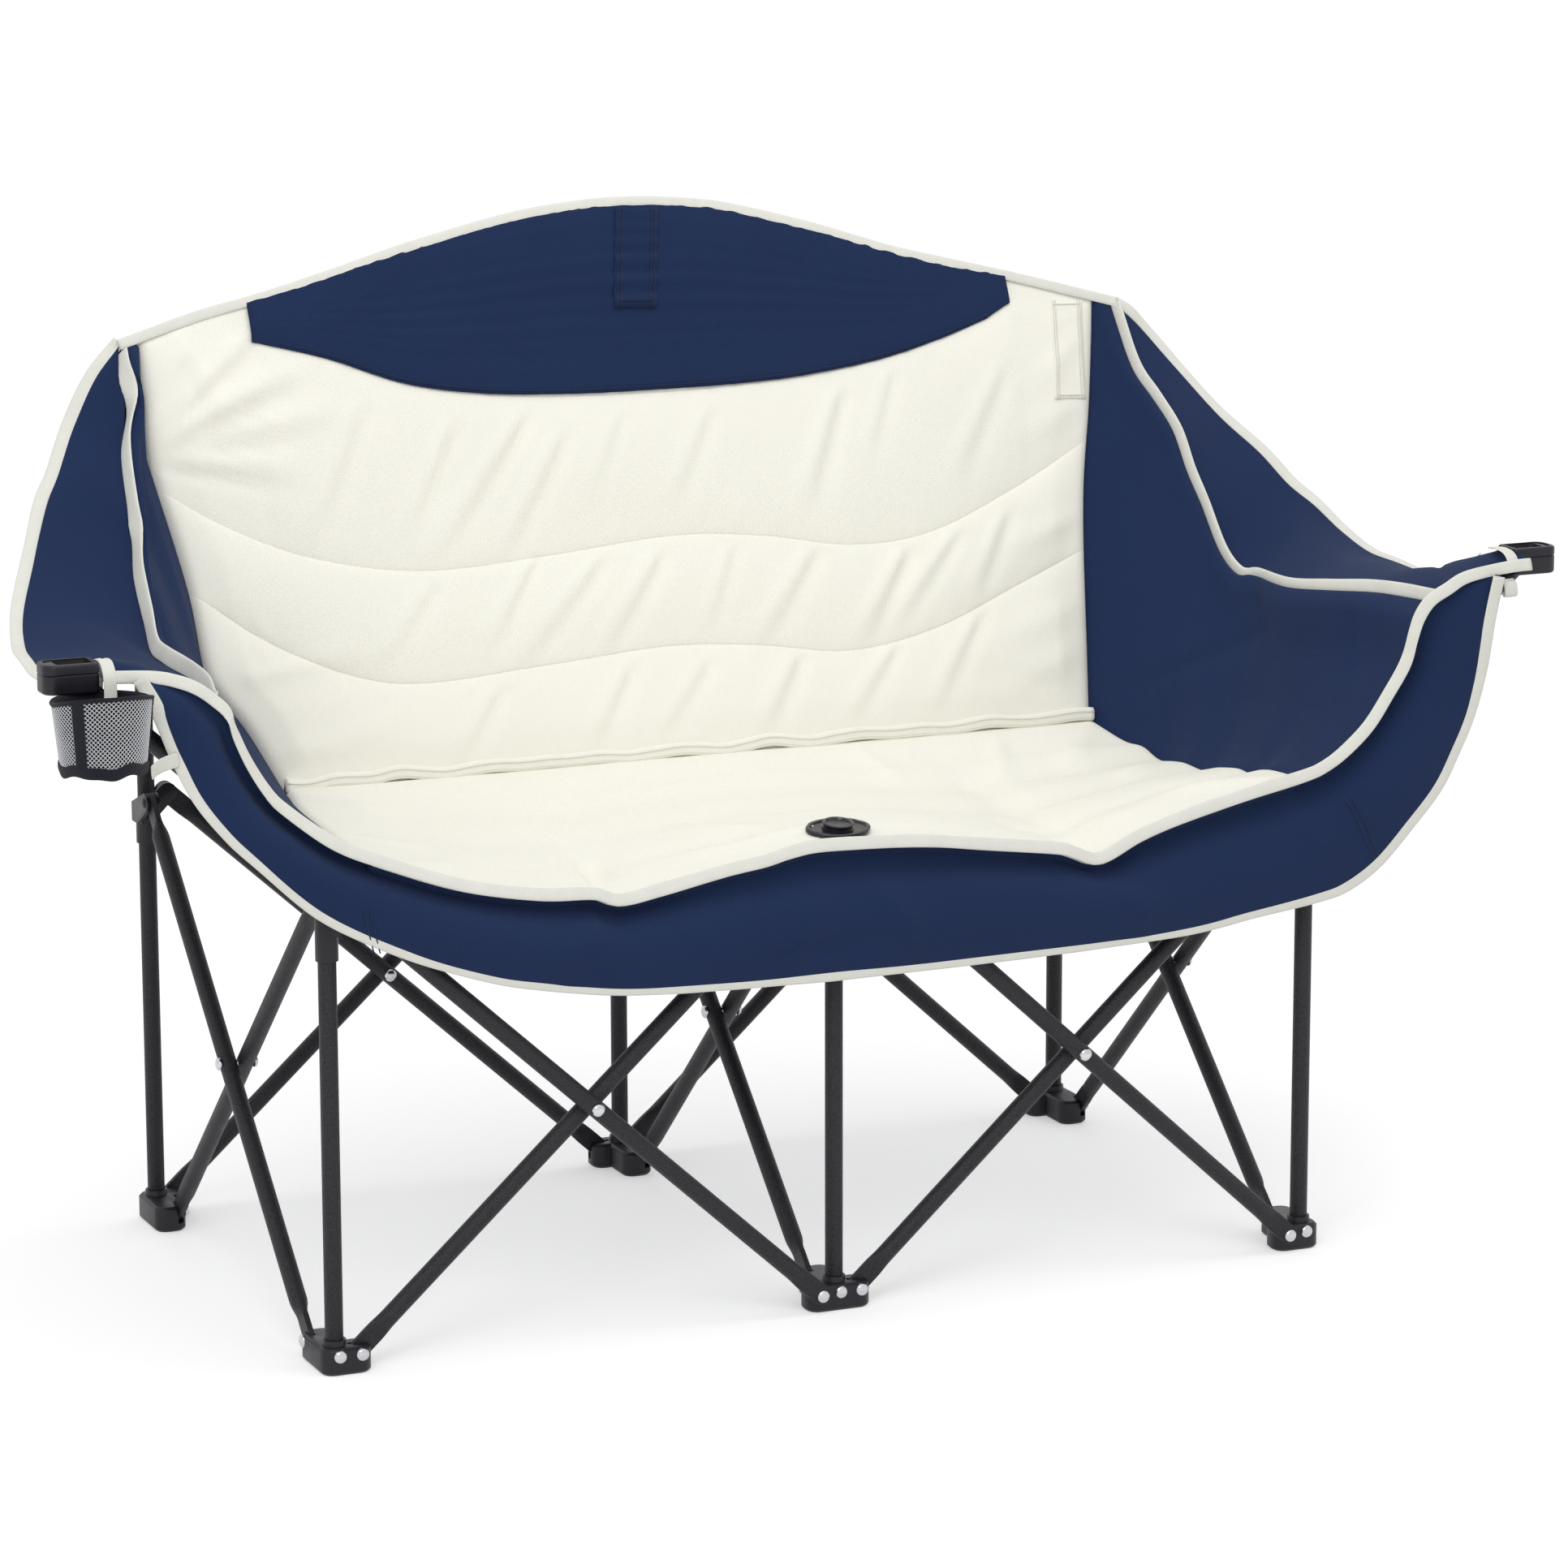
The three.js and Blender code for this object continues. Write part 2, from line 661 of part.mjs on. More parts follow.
// Arm caps: rounded plastic ends with a shallow well on top and a socket for the tube.
function armCap(side, layer) {
  const shape = new THREE.Shape();
  const [a, b] = [0, capLength];
  const half = capDepth / 2;
  shape.moveTo(a + capEdge, -half + capEdge);
  shape.lineTo(b - capRound, -half + capEdge);
  shape.absarc(b - capRound, -half + capRound, capRound - capEdge, -Math.PI / 2, 0);
  shape.absarc(b - capRound, half - capRound, capRound - capEdge, 0, Math.PI / 2);
  shape.lineTo(a + capEdge, half - capEdge);
  const geometry = new THREE.ExtrudeGeometry(shape, {
    depth: capHeight - 2 * capEdge,
    curveSegments: 5,
    bevelThickness: capEdge,
    bevelSize: capEdge,
    bevelSegments: 1,
  });
  geometry.translate(capInner, 0, capLift - capHeight / 2 + capEdge);
  let cap = solid(geometry);
  const well = new THREE.CylinderGeometry(1, 1, capHollowSink + overrun, 16);
  well.rotateX(Math.PI / 2);
  well.scale(capHollowWidth / 2, capHollowDepth / 2, 1);
  const wellZ = capLift + capHeight / 2 + (overrun - capHollowSink) / 2;
  well.translate(capInner + capLength * capHollowShare, 0, wellZ);
  cap = cap.subtract(solid(well));
  const bore = rod(tubeRadius + runningGap, tubeSpan, postSides);
  bore.rotateX(Math.PI / 2);
  bore.translate(0, 0, armTubeLength + runningGap - tubeSpan / 2);
  bore.rotateY(openAngle);
  bore.translate(pivotInsetX, 0, pivotHeight);
  cap = cap.subtract(solid(bore));
  if (side < 0) cap = cap.mirror([1, 0, 0]);
  return geometryOf(cap.translate([0, layer, 0]));
}

place('arm_cap_left', armCap(-1, nearLayer), plastic, chair);
place('arm_cap_right', armCap(1, midLayer), plastic, chair);

// Soft parts. A sheet is a grid of points thickened along its own normals.
function sheet(point, columns, rowsCount, thickness, shift = 0) {
  const grid = [];
  for (let j = 0; j <= rowsCount; j += 1) {
    for (let i = 0; i <= columns; i += 1) {
      grid.push(point(i / columns, j / rowsCount));
    }
  }
  const at = (i, j) => grid[j * (columns + 1) + i];
  const faces = [[], []];
  for (let j = 0; j <= rowsCount; j += 1) {
    for (let i = 0; i <= columns; i += 1) {
      const du = at(Math.min(i + 1, columns), j).clone().sub(at(Math.max(i - 1, 0), j));
      const dv = at(i, Math.min(j + 1, rowsCount)).clone().sub(at(i, Math.max(j - 1, 0)));
      const normal = du.cross(dv).normalize();
      const t = typeof thickness === 'function' ? thickness(i / columns, j / rowsCount) : thickness;
      faces[0].push(at(i, j).clone().addScaledVector(normal, shift));
      faces[1].push(at(i, j).clone().addScaledVector(normal, shift - t));
    }
  }
  const positions = [];
  faces.forEach((face) => face.forEach((p) => positions.push(p.x, p.y, p.z)));
  const stride = columns + 1;
  const count = stride * (rowsCount + 1);
  const index = [];
  for (let j = 0; j < rowsCount; j += 1) {
    for (let i = 0; i < columns; i += 1) {
      const a = j * stride + i;
      const b = a + 1;
      const c = b + stride;
      const d = a + stride;
      index.push(a, b, c, a, c, d);
      index.push(count + a, count + c, count + b, count + a, count + d, count + c);
    }
  }
  const rim = [];
  for (let i = 0; i < columns; i += 1) rim.push(i);
  for (let j = 0; j < rowsCount; j += 1) rim.push(j * stride + columns);
  for (let i = columns; i > 0; i -= 1) rim.push(rowsCount * stride + i);
  for (let j = rowsCount; j > 0; j -= 1) rim.push(j * stride);
  rim.forEach((a, k) => {
    const b = rim[(k + 1) % rim.length];
    index.push(a, count + b, b, a, count + a, count + b);
  });
  const geometry = new THREE.BufferGeometry();
  geometry.setAttribute('position', new THREE.Float32BufferAttribute(positions, 3));
  geometry.setIndex(index);
  return geometry;
}

function mix(a, b, t) {
  return a + (b - a) * t;
}

// Smooth bump of height 1 at zero, falling to nothing at one.
function bump(t) {
  const s = Math.min(1, Math.abs(t));
  return 0.5 + 0.5 * Math.cos(Math.PI * s);
}

function curveThrough(points) {
  return new THREE.CatmullRomCurve3(points.map((p) => new THREE.Vector3(...p)), false, 'centripetal');
}

// Height of the top border of the back over the place x.
function borderZ(x) {
  return backTopZ + backCrown * bump(x / backTopHalf);
}

// Front face of the back at height z, reclined from the seat seam to the border.
const backLeanRun = backTopY - seatRearY;
const backLeanRise = backTopZ - seatRearZ;

function backY(z) {
  return seatRearY + backLeanRun * (z - seatRearZ) / backLeanRise;
}

// Half width of the cream back: it widens from the seat seam to the corners.
const backSideTopX = 478;
function backHalf(z) {
  const t = Math.min(1, (z - seatRearZ) / backLeanRise);
  return mix(seatRearHalf, backSideTopX, Math.sin(t * Math.PI / 2));
}

// Two sewn channels cross the back in a shallow wave.
const channelHeights = [640, 543];
const channelWave = 20;
const channelRise = 64;
function channelZ(x, height) {
  const s = Math.abs(x) / backSideTopX;
  return height - channelWave * bump((s - 0.5) * 3) + channelRise * Math.max(0, s - 0.55) / 0.45;
}

// Front face of the padded back: reclined, a little hollow, and pressed in along the channels.
function backFace(x, z) {
  const rise = (z - seatRearZ) / (borderZ(x) - seatRearZ);
  const groove = channelHeights.reduce((sum, h) => sum + bump((z - channelZ(x, h)) / channelWidth), 0);
  const hollow = backHollow * bump(x / backTopHalf) * Math.sin(Math.PI * rise);
  return backY(z) + hollow + channelDepth * Math.min(1, groove);
}

// Rows of the back at x: they follow the channels, with a row on each side of one.
function backRows(x) {
  const [high, low] = channelHeights.map((h) => channelZ(x, h));
  const base = seatRearZ + seamGap;
  const stops = [base, low - channelWidth, low, low + channelWidth];
  stops.push(high - channelWidth, high, high + channelWidth, borderZ(x));
  const rowsList = [];
  for (let k = 0; k + 1 < stops.length; k += 1) {
    const last = k + 2 === stops.length;
    const parts = last ? 3 : 1 + (stops[k + 1] - stops[k] > 2 * channelWidth);
    for (let n = 0; n < parts; n += 1) rowsList.push(mix(stops[k], stops[k + 1], n / parts));
  }
  rowsList.push(borderZ(x));
  return rowsList;
}

const backRowCount = backRows(0).length - 1;
function backPoint(u, v) {
  const wide = mix(-backSideTopX, backSideTopX, u);
  const z = backRows(wide)[Math.round(v * backRowCount)];
  const x = mix(-1, 1, u) * backHalf(z);
  return new THREE.Vector3(x, backFace(x, z), z);
}

// Pocket behind the back: its front follows the recline, its rear is upright behind the post.
function pocketWedge(x, low, high, back) {
  const shape = new THREE.Shape();
  shape.moveTo(backY(low) + backThickness / 2, low);
  shape.lineTo(back, low);
  shape.lineTo(back, high);
  shape.lineTo(backY(high) + backThickness / 2, high);
  const geometry = plainPrism(shape, 2 * pocketHalf);
  geometry.rotateX(Math.PI / 2);
  geometry.rotateZ(Math.PI / 2);
  geometry.translate(x - pocketHalf, 0, 0);
  return solid(geometry);
}

function backPad() {
  let pad = solid(sheet(backPoint, 22, backRowCount, (u, v) => {
    const edge = Math.min(u, 1 - u, v, 1 - v);
    return mix(backThickness * 0.4, backThickness, Math.min(1, edge * 6));
  }));
  const pockets = [[-postSpacing, cornerPostTop, cornerPocketDrop], [0, middlePostTop, middlePocketDrop],
    [postSpacing, cornerPostTop, cornerPocketDrop]];
  for (const [x, top, drop] of pockets) {
    const low = top - drop;
    const high = top + postCapWall + pocketDepthWall;
    const bore = postCapRadius + runningGap;
    const back = postDepth + bore + pocketDepthWall;
    pad = pad.add(pocketWedge(x, low, high, back));
    pad = pad.subtract(upright(bore, x, postDepth, low - overrun, top + postCapWall + runningGap));
  }
  return geometryOf(pad);
}

place('back_pad', backPad(), creamCloth, chair);

// Navy lens along the top of the back, lying on the cream pad.
const lensHalf = 380;
const lensLowZ = 766;
const lensEndDrop = 22;
function lensPoint(u, v) {
  const x = mix(-lensHalf, lensHalf, u);
  const high = borderZ(x) - seamGap;
  const endZ = borderZ(lensHalf) - lensEndDrop;
  const low = Math.min(high - lensEndDrop, mix(endZ, lensLowZ, bump(x / lensHalf)));
  const z = mix(low, high, v);
  return new THREE.Vector3(x, backFace(x, z), z);
}

const lensShift = lensThickness + 2 * runningGap;
place('back_top_panel', sheet(lensPoint, 18, 4, lensThickness, lensShift), navyCloth, chair);

// Seat: a wide pad that dips between the posts and sags behind its front edge.
function seatHalf(y) {
  const t = (seatRearY - y) / (seatRearY - frontEdgeY);
  return mix(seatRearHalf, seatCornerX, t);
}

function seatFrontZ(x) {
  const s = Math.abs(x);
  const outer = Math.max(0, s - seatDipX) / (seatCornerX - seatDipX);
  const inner = Math.min(1, s / seatDipX);
  if (s > seatDipX) return mix(seatDipZ, seatCornerZ, Math.sin(outer * Math.PI / 2));
  return mix(seatCentreZ, seatDipZ, inner * inner);
}

function seatZ(x, y) {
  const t = Math.max(0, (y - frontEdgeY) / (seatRearY - frontEdgeY));
  const front = seatFrontZ(x * seatCornerX / seatHalf(y));
  const ease = Math.min(1, t * 1.25);
  const sag = seatSag * Math.sin(Math.PI * Math.min(1, t)) * (1 - bump(x / seatPlateauHalf));
  return mix(front, seatRearZ, ease * ease * (3 - 2 * ease)) - sag;
}

function seatPoint(u, v) {
  const y = mix(frontEdgeY, seatRearY - seamGap, v);
  const x = mix(-1, 1, u) * seatHalf(y);
  return new THREE.Vector3(x, y, seatZ(x, y));
}

function seatPad() {
  const pad = solid(sheet(seatPoint, 24, 10, (u, v) => {
    const edge = Math.min(u, 1 - u, v * 0.6, (1 - v) * 0.6);
    return mix(seatThickness * 0.6, seatThickness, Math.min(1, edge * 8));
  }));
  const holeRun = 3 * seatThickness;
  const holeRadius = studRadius + plateHoleGap;
  const hole = upright(holeRadius, 0, 0, seatCentreZ - holeRun, seatCentreZ + holeRun);
  return geometryOf(pad.subtract(hole));
}

place('seat_pad', seatPad(), creamCloth, chair);

function seatPlate() {
  const shape = new THREE.Shape();
  const half = plateWidth / 2;
  const run = plateLength / 2 - half;
  shape.absarc(run, 0, half, -Math.PI / 2, Math.PI / 2);
  shape.absarc(-run, 0, half, Math.PI / 2, 1.5 * Math.PI);
  const hole = new THREE.Path();
  hole.absarc(0, 0, studRadius + plateHoleGap, 0, 2 * Math.PI, true);
  shape.holes.push(hole);
  return plainPrism(shape, plateThickness, 7);
}

const plateZ = seatCentreZ + plateLift;
place('seat_plate', seatPlate(), plastic, chair).position.z = plateZ;

function seatKnob() {
  const base = plateThickness + runningGap;
  const rim = knobRadius - knobRing;
  const step = knobHeight * knobStepShare;
  const groove = knobHeight * knobGrooveShare;
  const profile = [[0, 0], [knobRadius, 0], [knobRadius, step], [rim, step],
    [rim - knobRing, groove], [rim - 2 * knobRing, knobHeight], [0, knobHeight]];
  const geometry = new THREE.LatheGeometry(profile.map(([r, z]) => new THREE.Vector2(r, z)), 20);
  geometry.rotateX(Math.PI / 2);
  geometry.translate(0, 0, base);
  const stud = upright(studRadius + runningGap, 0, 0, -overrun, base + 2 * runningGap);
  return geometryOf(solid(geometry).subtract(stud));
}

place('seat_knob', seatKnob(), plastic, chair).position.z = plateZ;

// Side panels and arm wings, each between two edge curves on the right side.
const seatSeam = curveThrough([
  [seatRearHalf, seatRearY, seatRearZ],
  [seatHalf(seatMidY), seatMidY, seatZ(seatHalf(seatMidY), seatMidY)],
  [seatCornerX, frontEdgeY, seatCornerZ],
]);
const armInner = curveThrough([
  ...armInnerShares.map(atShares),
  [armFrontX, frontEdgeY, armFrontZ],
]);
const armOuter = curveThrough([
  ...armOuterShares.map(atShares),
  [armTipX, frontEdgeY, armTipZ],
]);
const frontSeam = curveThrough([
  [seatCornerX, frontEdgeY, seatCornerZ],
  ...frontSeamShares.map(atShares).map(([x, , z]) => [x, frontEdgeY, z]),
  [armFrontX, frontEdgeY, armFrontZ],
]);

function rearSeam(v) {
  const z = mix(seatRearZ, armInner.getPoint(0).z, v);
  const x = backHalf(z) + panelSetOff + mix(0, armInner.getPoint(0).x - backSideTopX, v * v);
  return new THREE.Vector3(x, backY(z), z);
}

// Four-sided patch: its borders are the seat seam, the arm piping, the back and the front seam.
function sidePoint(u, v) {
  const low = seatSeam.getPoint(u);
  const high = armInner.getPoint(u);
  const rear = rearSeam(v);
  const front = frontSeam.getPoint(v);
  const across = low.clone().lerp(high, v);
  const along = rear.clone().lerp(front, u);
  const bottom = seatSeam.getPoint(0).lerp(seatSeam.getPoint(1), u);
  const top = armInner.getPoint(0).lerp(armInner.getPoint(1), u);
  return across.add(along).sub(bottom.lerp(top, v));
}

function wingPoint(u, v) {
  const p = armInner.getPoint(u).lerp(armOuter.getPoint(u), v);
  p.z += wingArch * Math.sin(Math.PI * v);
  return p;
}

function mirrored(point) {
  return (u, v) => {
    const p = point(1 - u, v);
    p.x = -p.x;
    return p;
  };
}

const sideGap = panelThickness / 2 + panelSetOff;
function sideRight(u, v) {
  const p = sidePoint(u, v);
  p.x += sideGap;
  p.z += sideGap * (1 - v) * 0.4;
  return p;
}

function wingRight(u, v) {
  const p = wingPoint(u, v);
  p.x += sideGap * 2;
  p.z += 2 * runningGap + panelThickness / 2;
  return p;
}

for (const [name, point, rowsCount] of [['side_panel', sideRight, 8], ['wing', wingRight, 4]]) {
  const right = sheet(point, 14, rowsCount, panelThickness, panelThickness / 2);
  const left = sheet(mirrored(point), 14, rowsCount, panelThickness, panelThickness / 2);
  place(`${name}_right`, right, navyCloth, chair);
  place(`${name}_left`, left, navyCloth, chair);
}

// Front band: it hangs from the front seam, in front of the posts, down to a curved hem.
const bandTopSide = frontSeamShares.slice(0, -1).map(atShares).map(([x, , z]) => [x, z]);
bandTopSide.push([armFrontX, armFrontZ], [armTipX - bandTipInset, armTipZ]);
const bandTopMiddle = [];
for (let k = -bandTopSteps; k <= bandTopSteps; k += 1) {
  const x = seatCornerX * k / bandTopSteps;
  bandTopMiddle.push([x, 0, seatFrontZ(x)]);
}
const bandTop = curveThrough([
  ...[...bandTopSide].reverse().map(([x, z]) => [-x, 0, z]),
  ...bandTopMiddle,
  ...bandTopSide.map(([x, z]) => [x, 0, z]),
]);
const bandHem = curveThrough([
  [-armTipX + bandTipInset, 0, armTipZ - bandTipDrop],
  ...hemLeftShares.map(atShares),
  [0, 0, bandCentreZ],
  ...hemRightShares.map(atShares),
  [armTipX - bandTipInset, 0, armTipZ - bandTipDrop],
]);

function bandPoint(u, v) {
  const p = bandHem.getPoint(u).lerp(bandTop.getPoint(u), v);
  p.y = bandFrontY - bandDepth * (1 - v) - bandBulge * Math.sin(Math.PI * v) * Math.sin(Math.PI * u);
  return p;
}

place('front_band', sheet(bandPoint, 32, 4, bandThickness, 0), navyCloth, chair);

// Cup holder: a soft open cup under the left arm cap.
const cupTop = capLift - capHeight / 2 - runningGap;
const cupY = nearLayer - tubeRadius - cupRadius - 2 * runningGap;

function cupHolder() {
  const low = cupRadius - cupTaper;
  const profile = [[0, 0], [low, 0], [cupRadius, cupHeight], [cupRadius - cupWall, cupHeight],
    [low - cupWall, cupWall], [0, cupWall]];
  const geometry = new THREE.LatheGeometry(profile.map(([r, z]) => new THREE.Vector2(r, z)), 24);
  geometry.rotateX(Math.PI / 2);
  return geometryOf(solid(geometry));
}

place('cup_holder', cupHolder(), netting, chair).position.set(cupX, cupY, cupTop - cupHeight);

// The origin is on the ground, under the middle of the chair's reach from front to rear.
const reachFront = cupY - cupRadius;
const reachRear = postDepth - betweenLayers + 2 * tubeRadius + 1.5 * runningGap + rivetHeadHeight;
chair.position.y = -(reachFront + reachRear) / 2;

export default chair;
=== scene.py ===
import json
import math
import bmesh
import bpy
import numpy as np
from mathutils import Matrix, Vector, noise

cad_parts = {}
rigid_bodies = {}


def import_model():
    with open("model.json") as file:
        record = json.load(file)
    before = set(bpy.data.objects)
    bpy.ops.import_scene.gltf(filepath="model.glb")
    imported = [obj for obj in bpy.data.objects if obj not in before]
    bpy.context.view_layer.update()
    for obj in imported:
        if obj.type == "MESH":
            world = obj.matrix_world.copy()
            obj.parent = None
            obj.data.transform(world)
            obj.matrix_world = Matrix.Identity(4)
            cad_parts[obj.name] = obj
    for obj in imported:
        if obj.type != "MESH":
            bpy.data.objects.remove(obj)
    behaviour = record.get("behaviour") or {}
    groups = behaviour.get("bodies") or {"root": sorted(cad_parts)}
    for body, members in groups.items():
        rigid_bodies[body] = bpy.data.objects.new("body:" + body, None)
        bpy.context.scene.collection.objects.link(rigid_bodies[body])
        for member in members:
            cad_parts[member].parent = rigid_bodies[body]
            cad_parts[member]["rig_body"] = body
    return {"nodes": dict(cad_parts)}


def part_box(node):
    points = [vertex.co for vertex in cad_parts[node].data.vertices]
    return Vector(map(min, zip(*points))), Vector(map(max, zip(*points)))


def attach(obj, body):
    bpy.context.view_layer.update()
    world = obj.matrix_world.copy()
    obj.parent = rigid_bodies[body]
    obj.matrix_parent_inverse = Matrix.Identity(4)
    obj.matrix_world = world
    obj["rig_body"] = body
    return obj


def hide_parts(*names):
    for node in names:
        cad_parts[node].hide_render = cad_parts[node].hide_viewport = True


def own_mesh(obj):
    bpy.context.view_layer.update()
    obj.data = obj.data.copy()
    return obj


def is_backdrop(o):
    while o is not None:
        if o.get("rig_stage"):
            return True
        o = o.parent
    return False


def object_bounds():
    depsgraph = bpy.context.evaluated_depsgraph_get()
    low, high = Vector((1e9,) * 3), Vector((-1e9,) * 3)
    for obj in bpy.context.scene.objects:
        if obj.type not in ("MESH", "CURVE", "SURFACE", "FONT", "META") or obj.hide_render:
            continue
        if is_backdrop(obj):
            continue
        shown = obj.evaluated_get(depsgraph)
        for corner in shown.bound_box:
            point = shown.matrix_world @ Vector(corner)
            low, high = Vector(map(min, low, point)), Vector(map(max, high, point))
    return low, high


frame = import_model()
nodes = frame["nodes"]
low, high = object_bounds()
postLow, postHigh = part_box("post_front_middle")
lineY = (postLow.y + postHigh.y) / 2
print("stage: frame loaded")

# Places in this script are millimetres from the front-middle post, with the ground at zero.
frameSizes = {
    "pivotSpan": 430,
    "openRise": 392,
    "pivotHeight": 17,
    "pivotInsetX": 20,
    "pivotInsetY": 41,
    "tubeRadius": 8,
    "nearLayer": -19.5,
    "midLayer": -3.2,
    "sideLayer": 8.15,
    "armReach": 672,
    "capGrip": 13,
}
openAngle = math.atan2(frameSizes["pivotSpan"], frameSizes["openRise"])
postSpacing = frameSizes["pivotSpan"] + 2 * frameSizes["pivotInsetX"]
postDepth = frameSizes["pivotSpan"] + 2 * frameSizes["pivotInsetY"]
hubHeight = frameSizes["pivotHeight"] + frameSizes["openRise"]
tubeSpan = math.hypot(frameSizes["pivotSpan"], frameSizes["openRise"])


def toRow(points):
    return np.asarray(points, float) / 1000 + np.array([0, lineY, 0])


# Each soft piece rides one body of the frame.
gather = {"across": ("hub_front_middle", (1, 0, 0), (0, 200, 500), 0.2),
          "back": ("leg_rear_middle", (1, 0, 0), (0, 200, 500), 0.13)}
for side, sign in (("left", -1), ("right", 1)):
    gather["wing_" + side] = ("leg_rear_" + side, (-sign * 0.369, 0.749, 0.549), (sign * 505, 460, 830), 0.05)
    gather["side_" + side] = ("leg_rear_" + side, (-sign * 0.08, 0.86, 0.5), (sign * 500, 455, 825), 0.2)


def crumple(made, kind):
    body, axis, anchor, keep = gather[kind]
    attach(made, body)
    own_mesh(made)
    return made


# Materials
def newMaterial(name):
    material = bpy.data.materials.new(name)
    material.use_nodes = True
    tree = material.node_tree
    return material, tree, tree.nodes["Principled BSDF"]


# Gives a shader its colour, its bump from a height in nodes, and its plain values.
def dress(tree, shader, color, height, strength, depth, settings):
    bump = tree.nodes.new("ShaderNodeBump")
    bump.inputs["Strength"].default_value = strength
    bump.inputs["Distance"].default_value = depth
    tree.links.new(height, bump.inputs["Height"])
    tree.links.new(bump.outputs[0], shader.inputs["Normal"])
    tree.links.new(color, shader.inputs["Base Color"])
    for name, value in settings.items():
        shader.inputs[name].default_value = value


def noiseNode(tree, coordinates, scale, detail=3, roughness=0.55):
    node = tree.nodes.new("ShaderNodeTexNoise")
    node.inputs["Scale"].default_value = scale
    node.inputs["Detail"].default_value = detail
    node.inputs["Roughness"].default_value = roughness
    tree.links.new(coordinates, node.inputs["Vector"])
    return node.outputs[0]


def mixColor(tree, factor, first, second):
    node = tree.nodes.new("ShaderNodeMix")
    node.data_type = "RGBA"
    node.inputs["A"].default_value = (*first, 1)
    node.inputs["B"].default_value = (*second, 1)
    tree.links.new(factor, node.inputs["Factor"])
    return node.outputs["Result"]


def mathNode(tree, operation, first, second=None):
    node = tree.nodes.new("ShaderNodeMath")
    node.operation = operation
    for slot, value in ((0, first), (1, second)):
        if value is None:
            continue
        if isinstance(value, (int, float)):
            node.inputs[slot].default_value = value
        else:
            tree.links.new(value, node.inputs[slot])
    return node.outputs[0]


def times(tree, first, second):
    return mathNode(tree, "MULTIPLY", first, second)


def wave(tree, value, frequency):
    return mathNode(tree, "SINE", times(tree, value, frequency))


# Places along and across a piece's own cloth, in metres
def clothPlaces(tree):
    split = tree.nodes.new("ShaderNodeSeparateXYZ")
    tree.links.new(tree.nodes.new("ShaderNodeUVMap").outputs["UV"], split.inputs["Vector"])
    return split.outputs["X"], split.outputs["Y"]


def solidPlace(tree):
    return tree.nodes.new("ShaderNodeTexCoord").outputs["Object"]


weaveLook = {"cloudScale": 9, "cloudShare": 0.6, "fibreScale": 420, "fibreBump": 1.5, "depth": 0.0004,
             "specular": 0.2}


def weaveMaterial(name, dark, light, roughness, sheen, weaveScale, bumpStrength):
    material, tree, shader = newMaterial(name)
    across, along = clothPlaces(tree)
    weave = times(tree, wave(tree, across, weaveScale), wave(tree, along, weaveScale))
    place = solidPlace(tree)
    cloud = noiseNode(tree, place, weaveLook["cloudScale"], 4)
    fibre = noiseNode(tree, place, weaveLook["fibreScale"], 2)
    shade = mathNode(tree, "ADD", times(tree, cloud, weaveLook["cloudShare"]),
                     times(tree, fibre, 1 - weaveLook["cloudShare"]))
    height = mathNode(tree, "ADD", weave, times(tree, fibre, weaveLook["fibreBump"]))
    dress(tree, shader, mixColor(tree, shade, dark, light), height, bumpStrength, weaveLook["depth"],
          {"Roughness": roughness, "Sheen Weight": sheen, "Specular IOR Level": weaveLook["specular"]})
    return material


tapeLook = {"ribs": 3600, "ribDepth": 0.35, "stitches": 1900, "stitchGap": -0.3, "stitchDepth": 2.2, "rowAt": 0.78,
            "rowHalfWidth": 0.035, "grainScale": 60, "strength": 0.5, "depth": 0.0003}


def tapeMaterial(name, dark, light):
    material, tree, shader = newMaterial(name)
    along, across = clothPlaces(tree)
    stitch = mathNode(tree, "GREATER_THAN", wave(tree, along, tapeLook["stitches"]), tapeLook["stitchGap"])
    fromRow = mathNode(tree, "ABSOLUTE", mathNode(tree, "SUBTRACT", across, tapeLook["rowAt"]))
    sewn = times(tree, stitch, mathNode(tree, "LESS_THAN", fromRow, tapeLook["rowHalfWidth"]))
    grain = noiseNode(tree, solidPlace(tree), tapeLook["grainScale"], 4)
    height = mathNode(tree, "SUBTRACT", times(tree, wave(tree, along, tapeLook["ribs"]), tapeLook["ribDepth"]),
                      times(tree, sewn, tapeLook["stitchDepth"]))
    dress(tree, shader, mixColor(tree, grain, dark, light), height, tapeLook["strength"], tapeLook["depth"],
          {"Roughness": 0.75, "Sheen Weight": 0.1, "Specular IOR Level": 0.25})
    return material


hardLook = {"cloudRatio": 12, "speckleStart": 0.35, "depth": 0.0006, "roughSpread": 0.18}


def hardMaterial(name, dark, light, roughness, metallic, bumpScale, bumpStrength, specular=0.5, speckled=0.0):
    material, tree, shader = newMaterial(name)
    place = solidPlace(tree)
    cells = noiseNode(tree, place, bumpScale, 3, 0.6)
    cloud = noiseNode(tree, place, bumpScale / hardLook["cloudRatio"], 3)
    speckle = mathNode(tree, "ADD", times(tree, cells, speckled), times(tree, cloud, 1 - speckled))
    shade = times(tree, mathNode(tree, "SUBTRACT", speckle, speckled * hardLook["speckleStart"]), 1 + speckled)
    dress(tree, shader, mixColor(tree, shade, dark, light), cells, bumpStrength, hardLook["depth"],
          {"Metallic": metallic, "Specular IOR Level": specular})
    spread = hardLook["roughSpread"]
    rough = mathNode(tree, "ADD", times(tree, cloud, spread), roughness - spread / 2)
    tree.links.new(rough, shader.inputs["Roughness"])
    return material


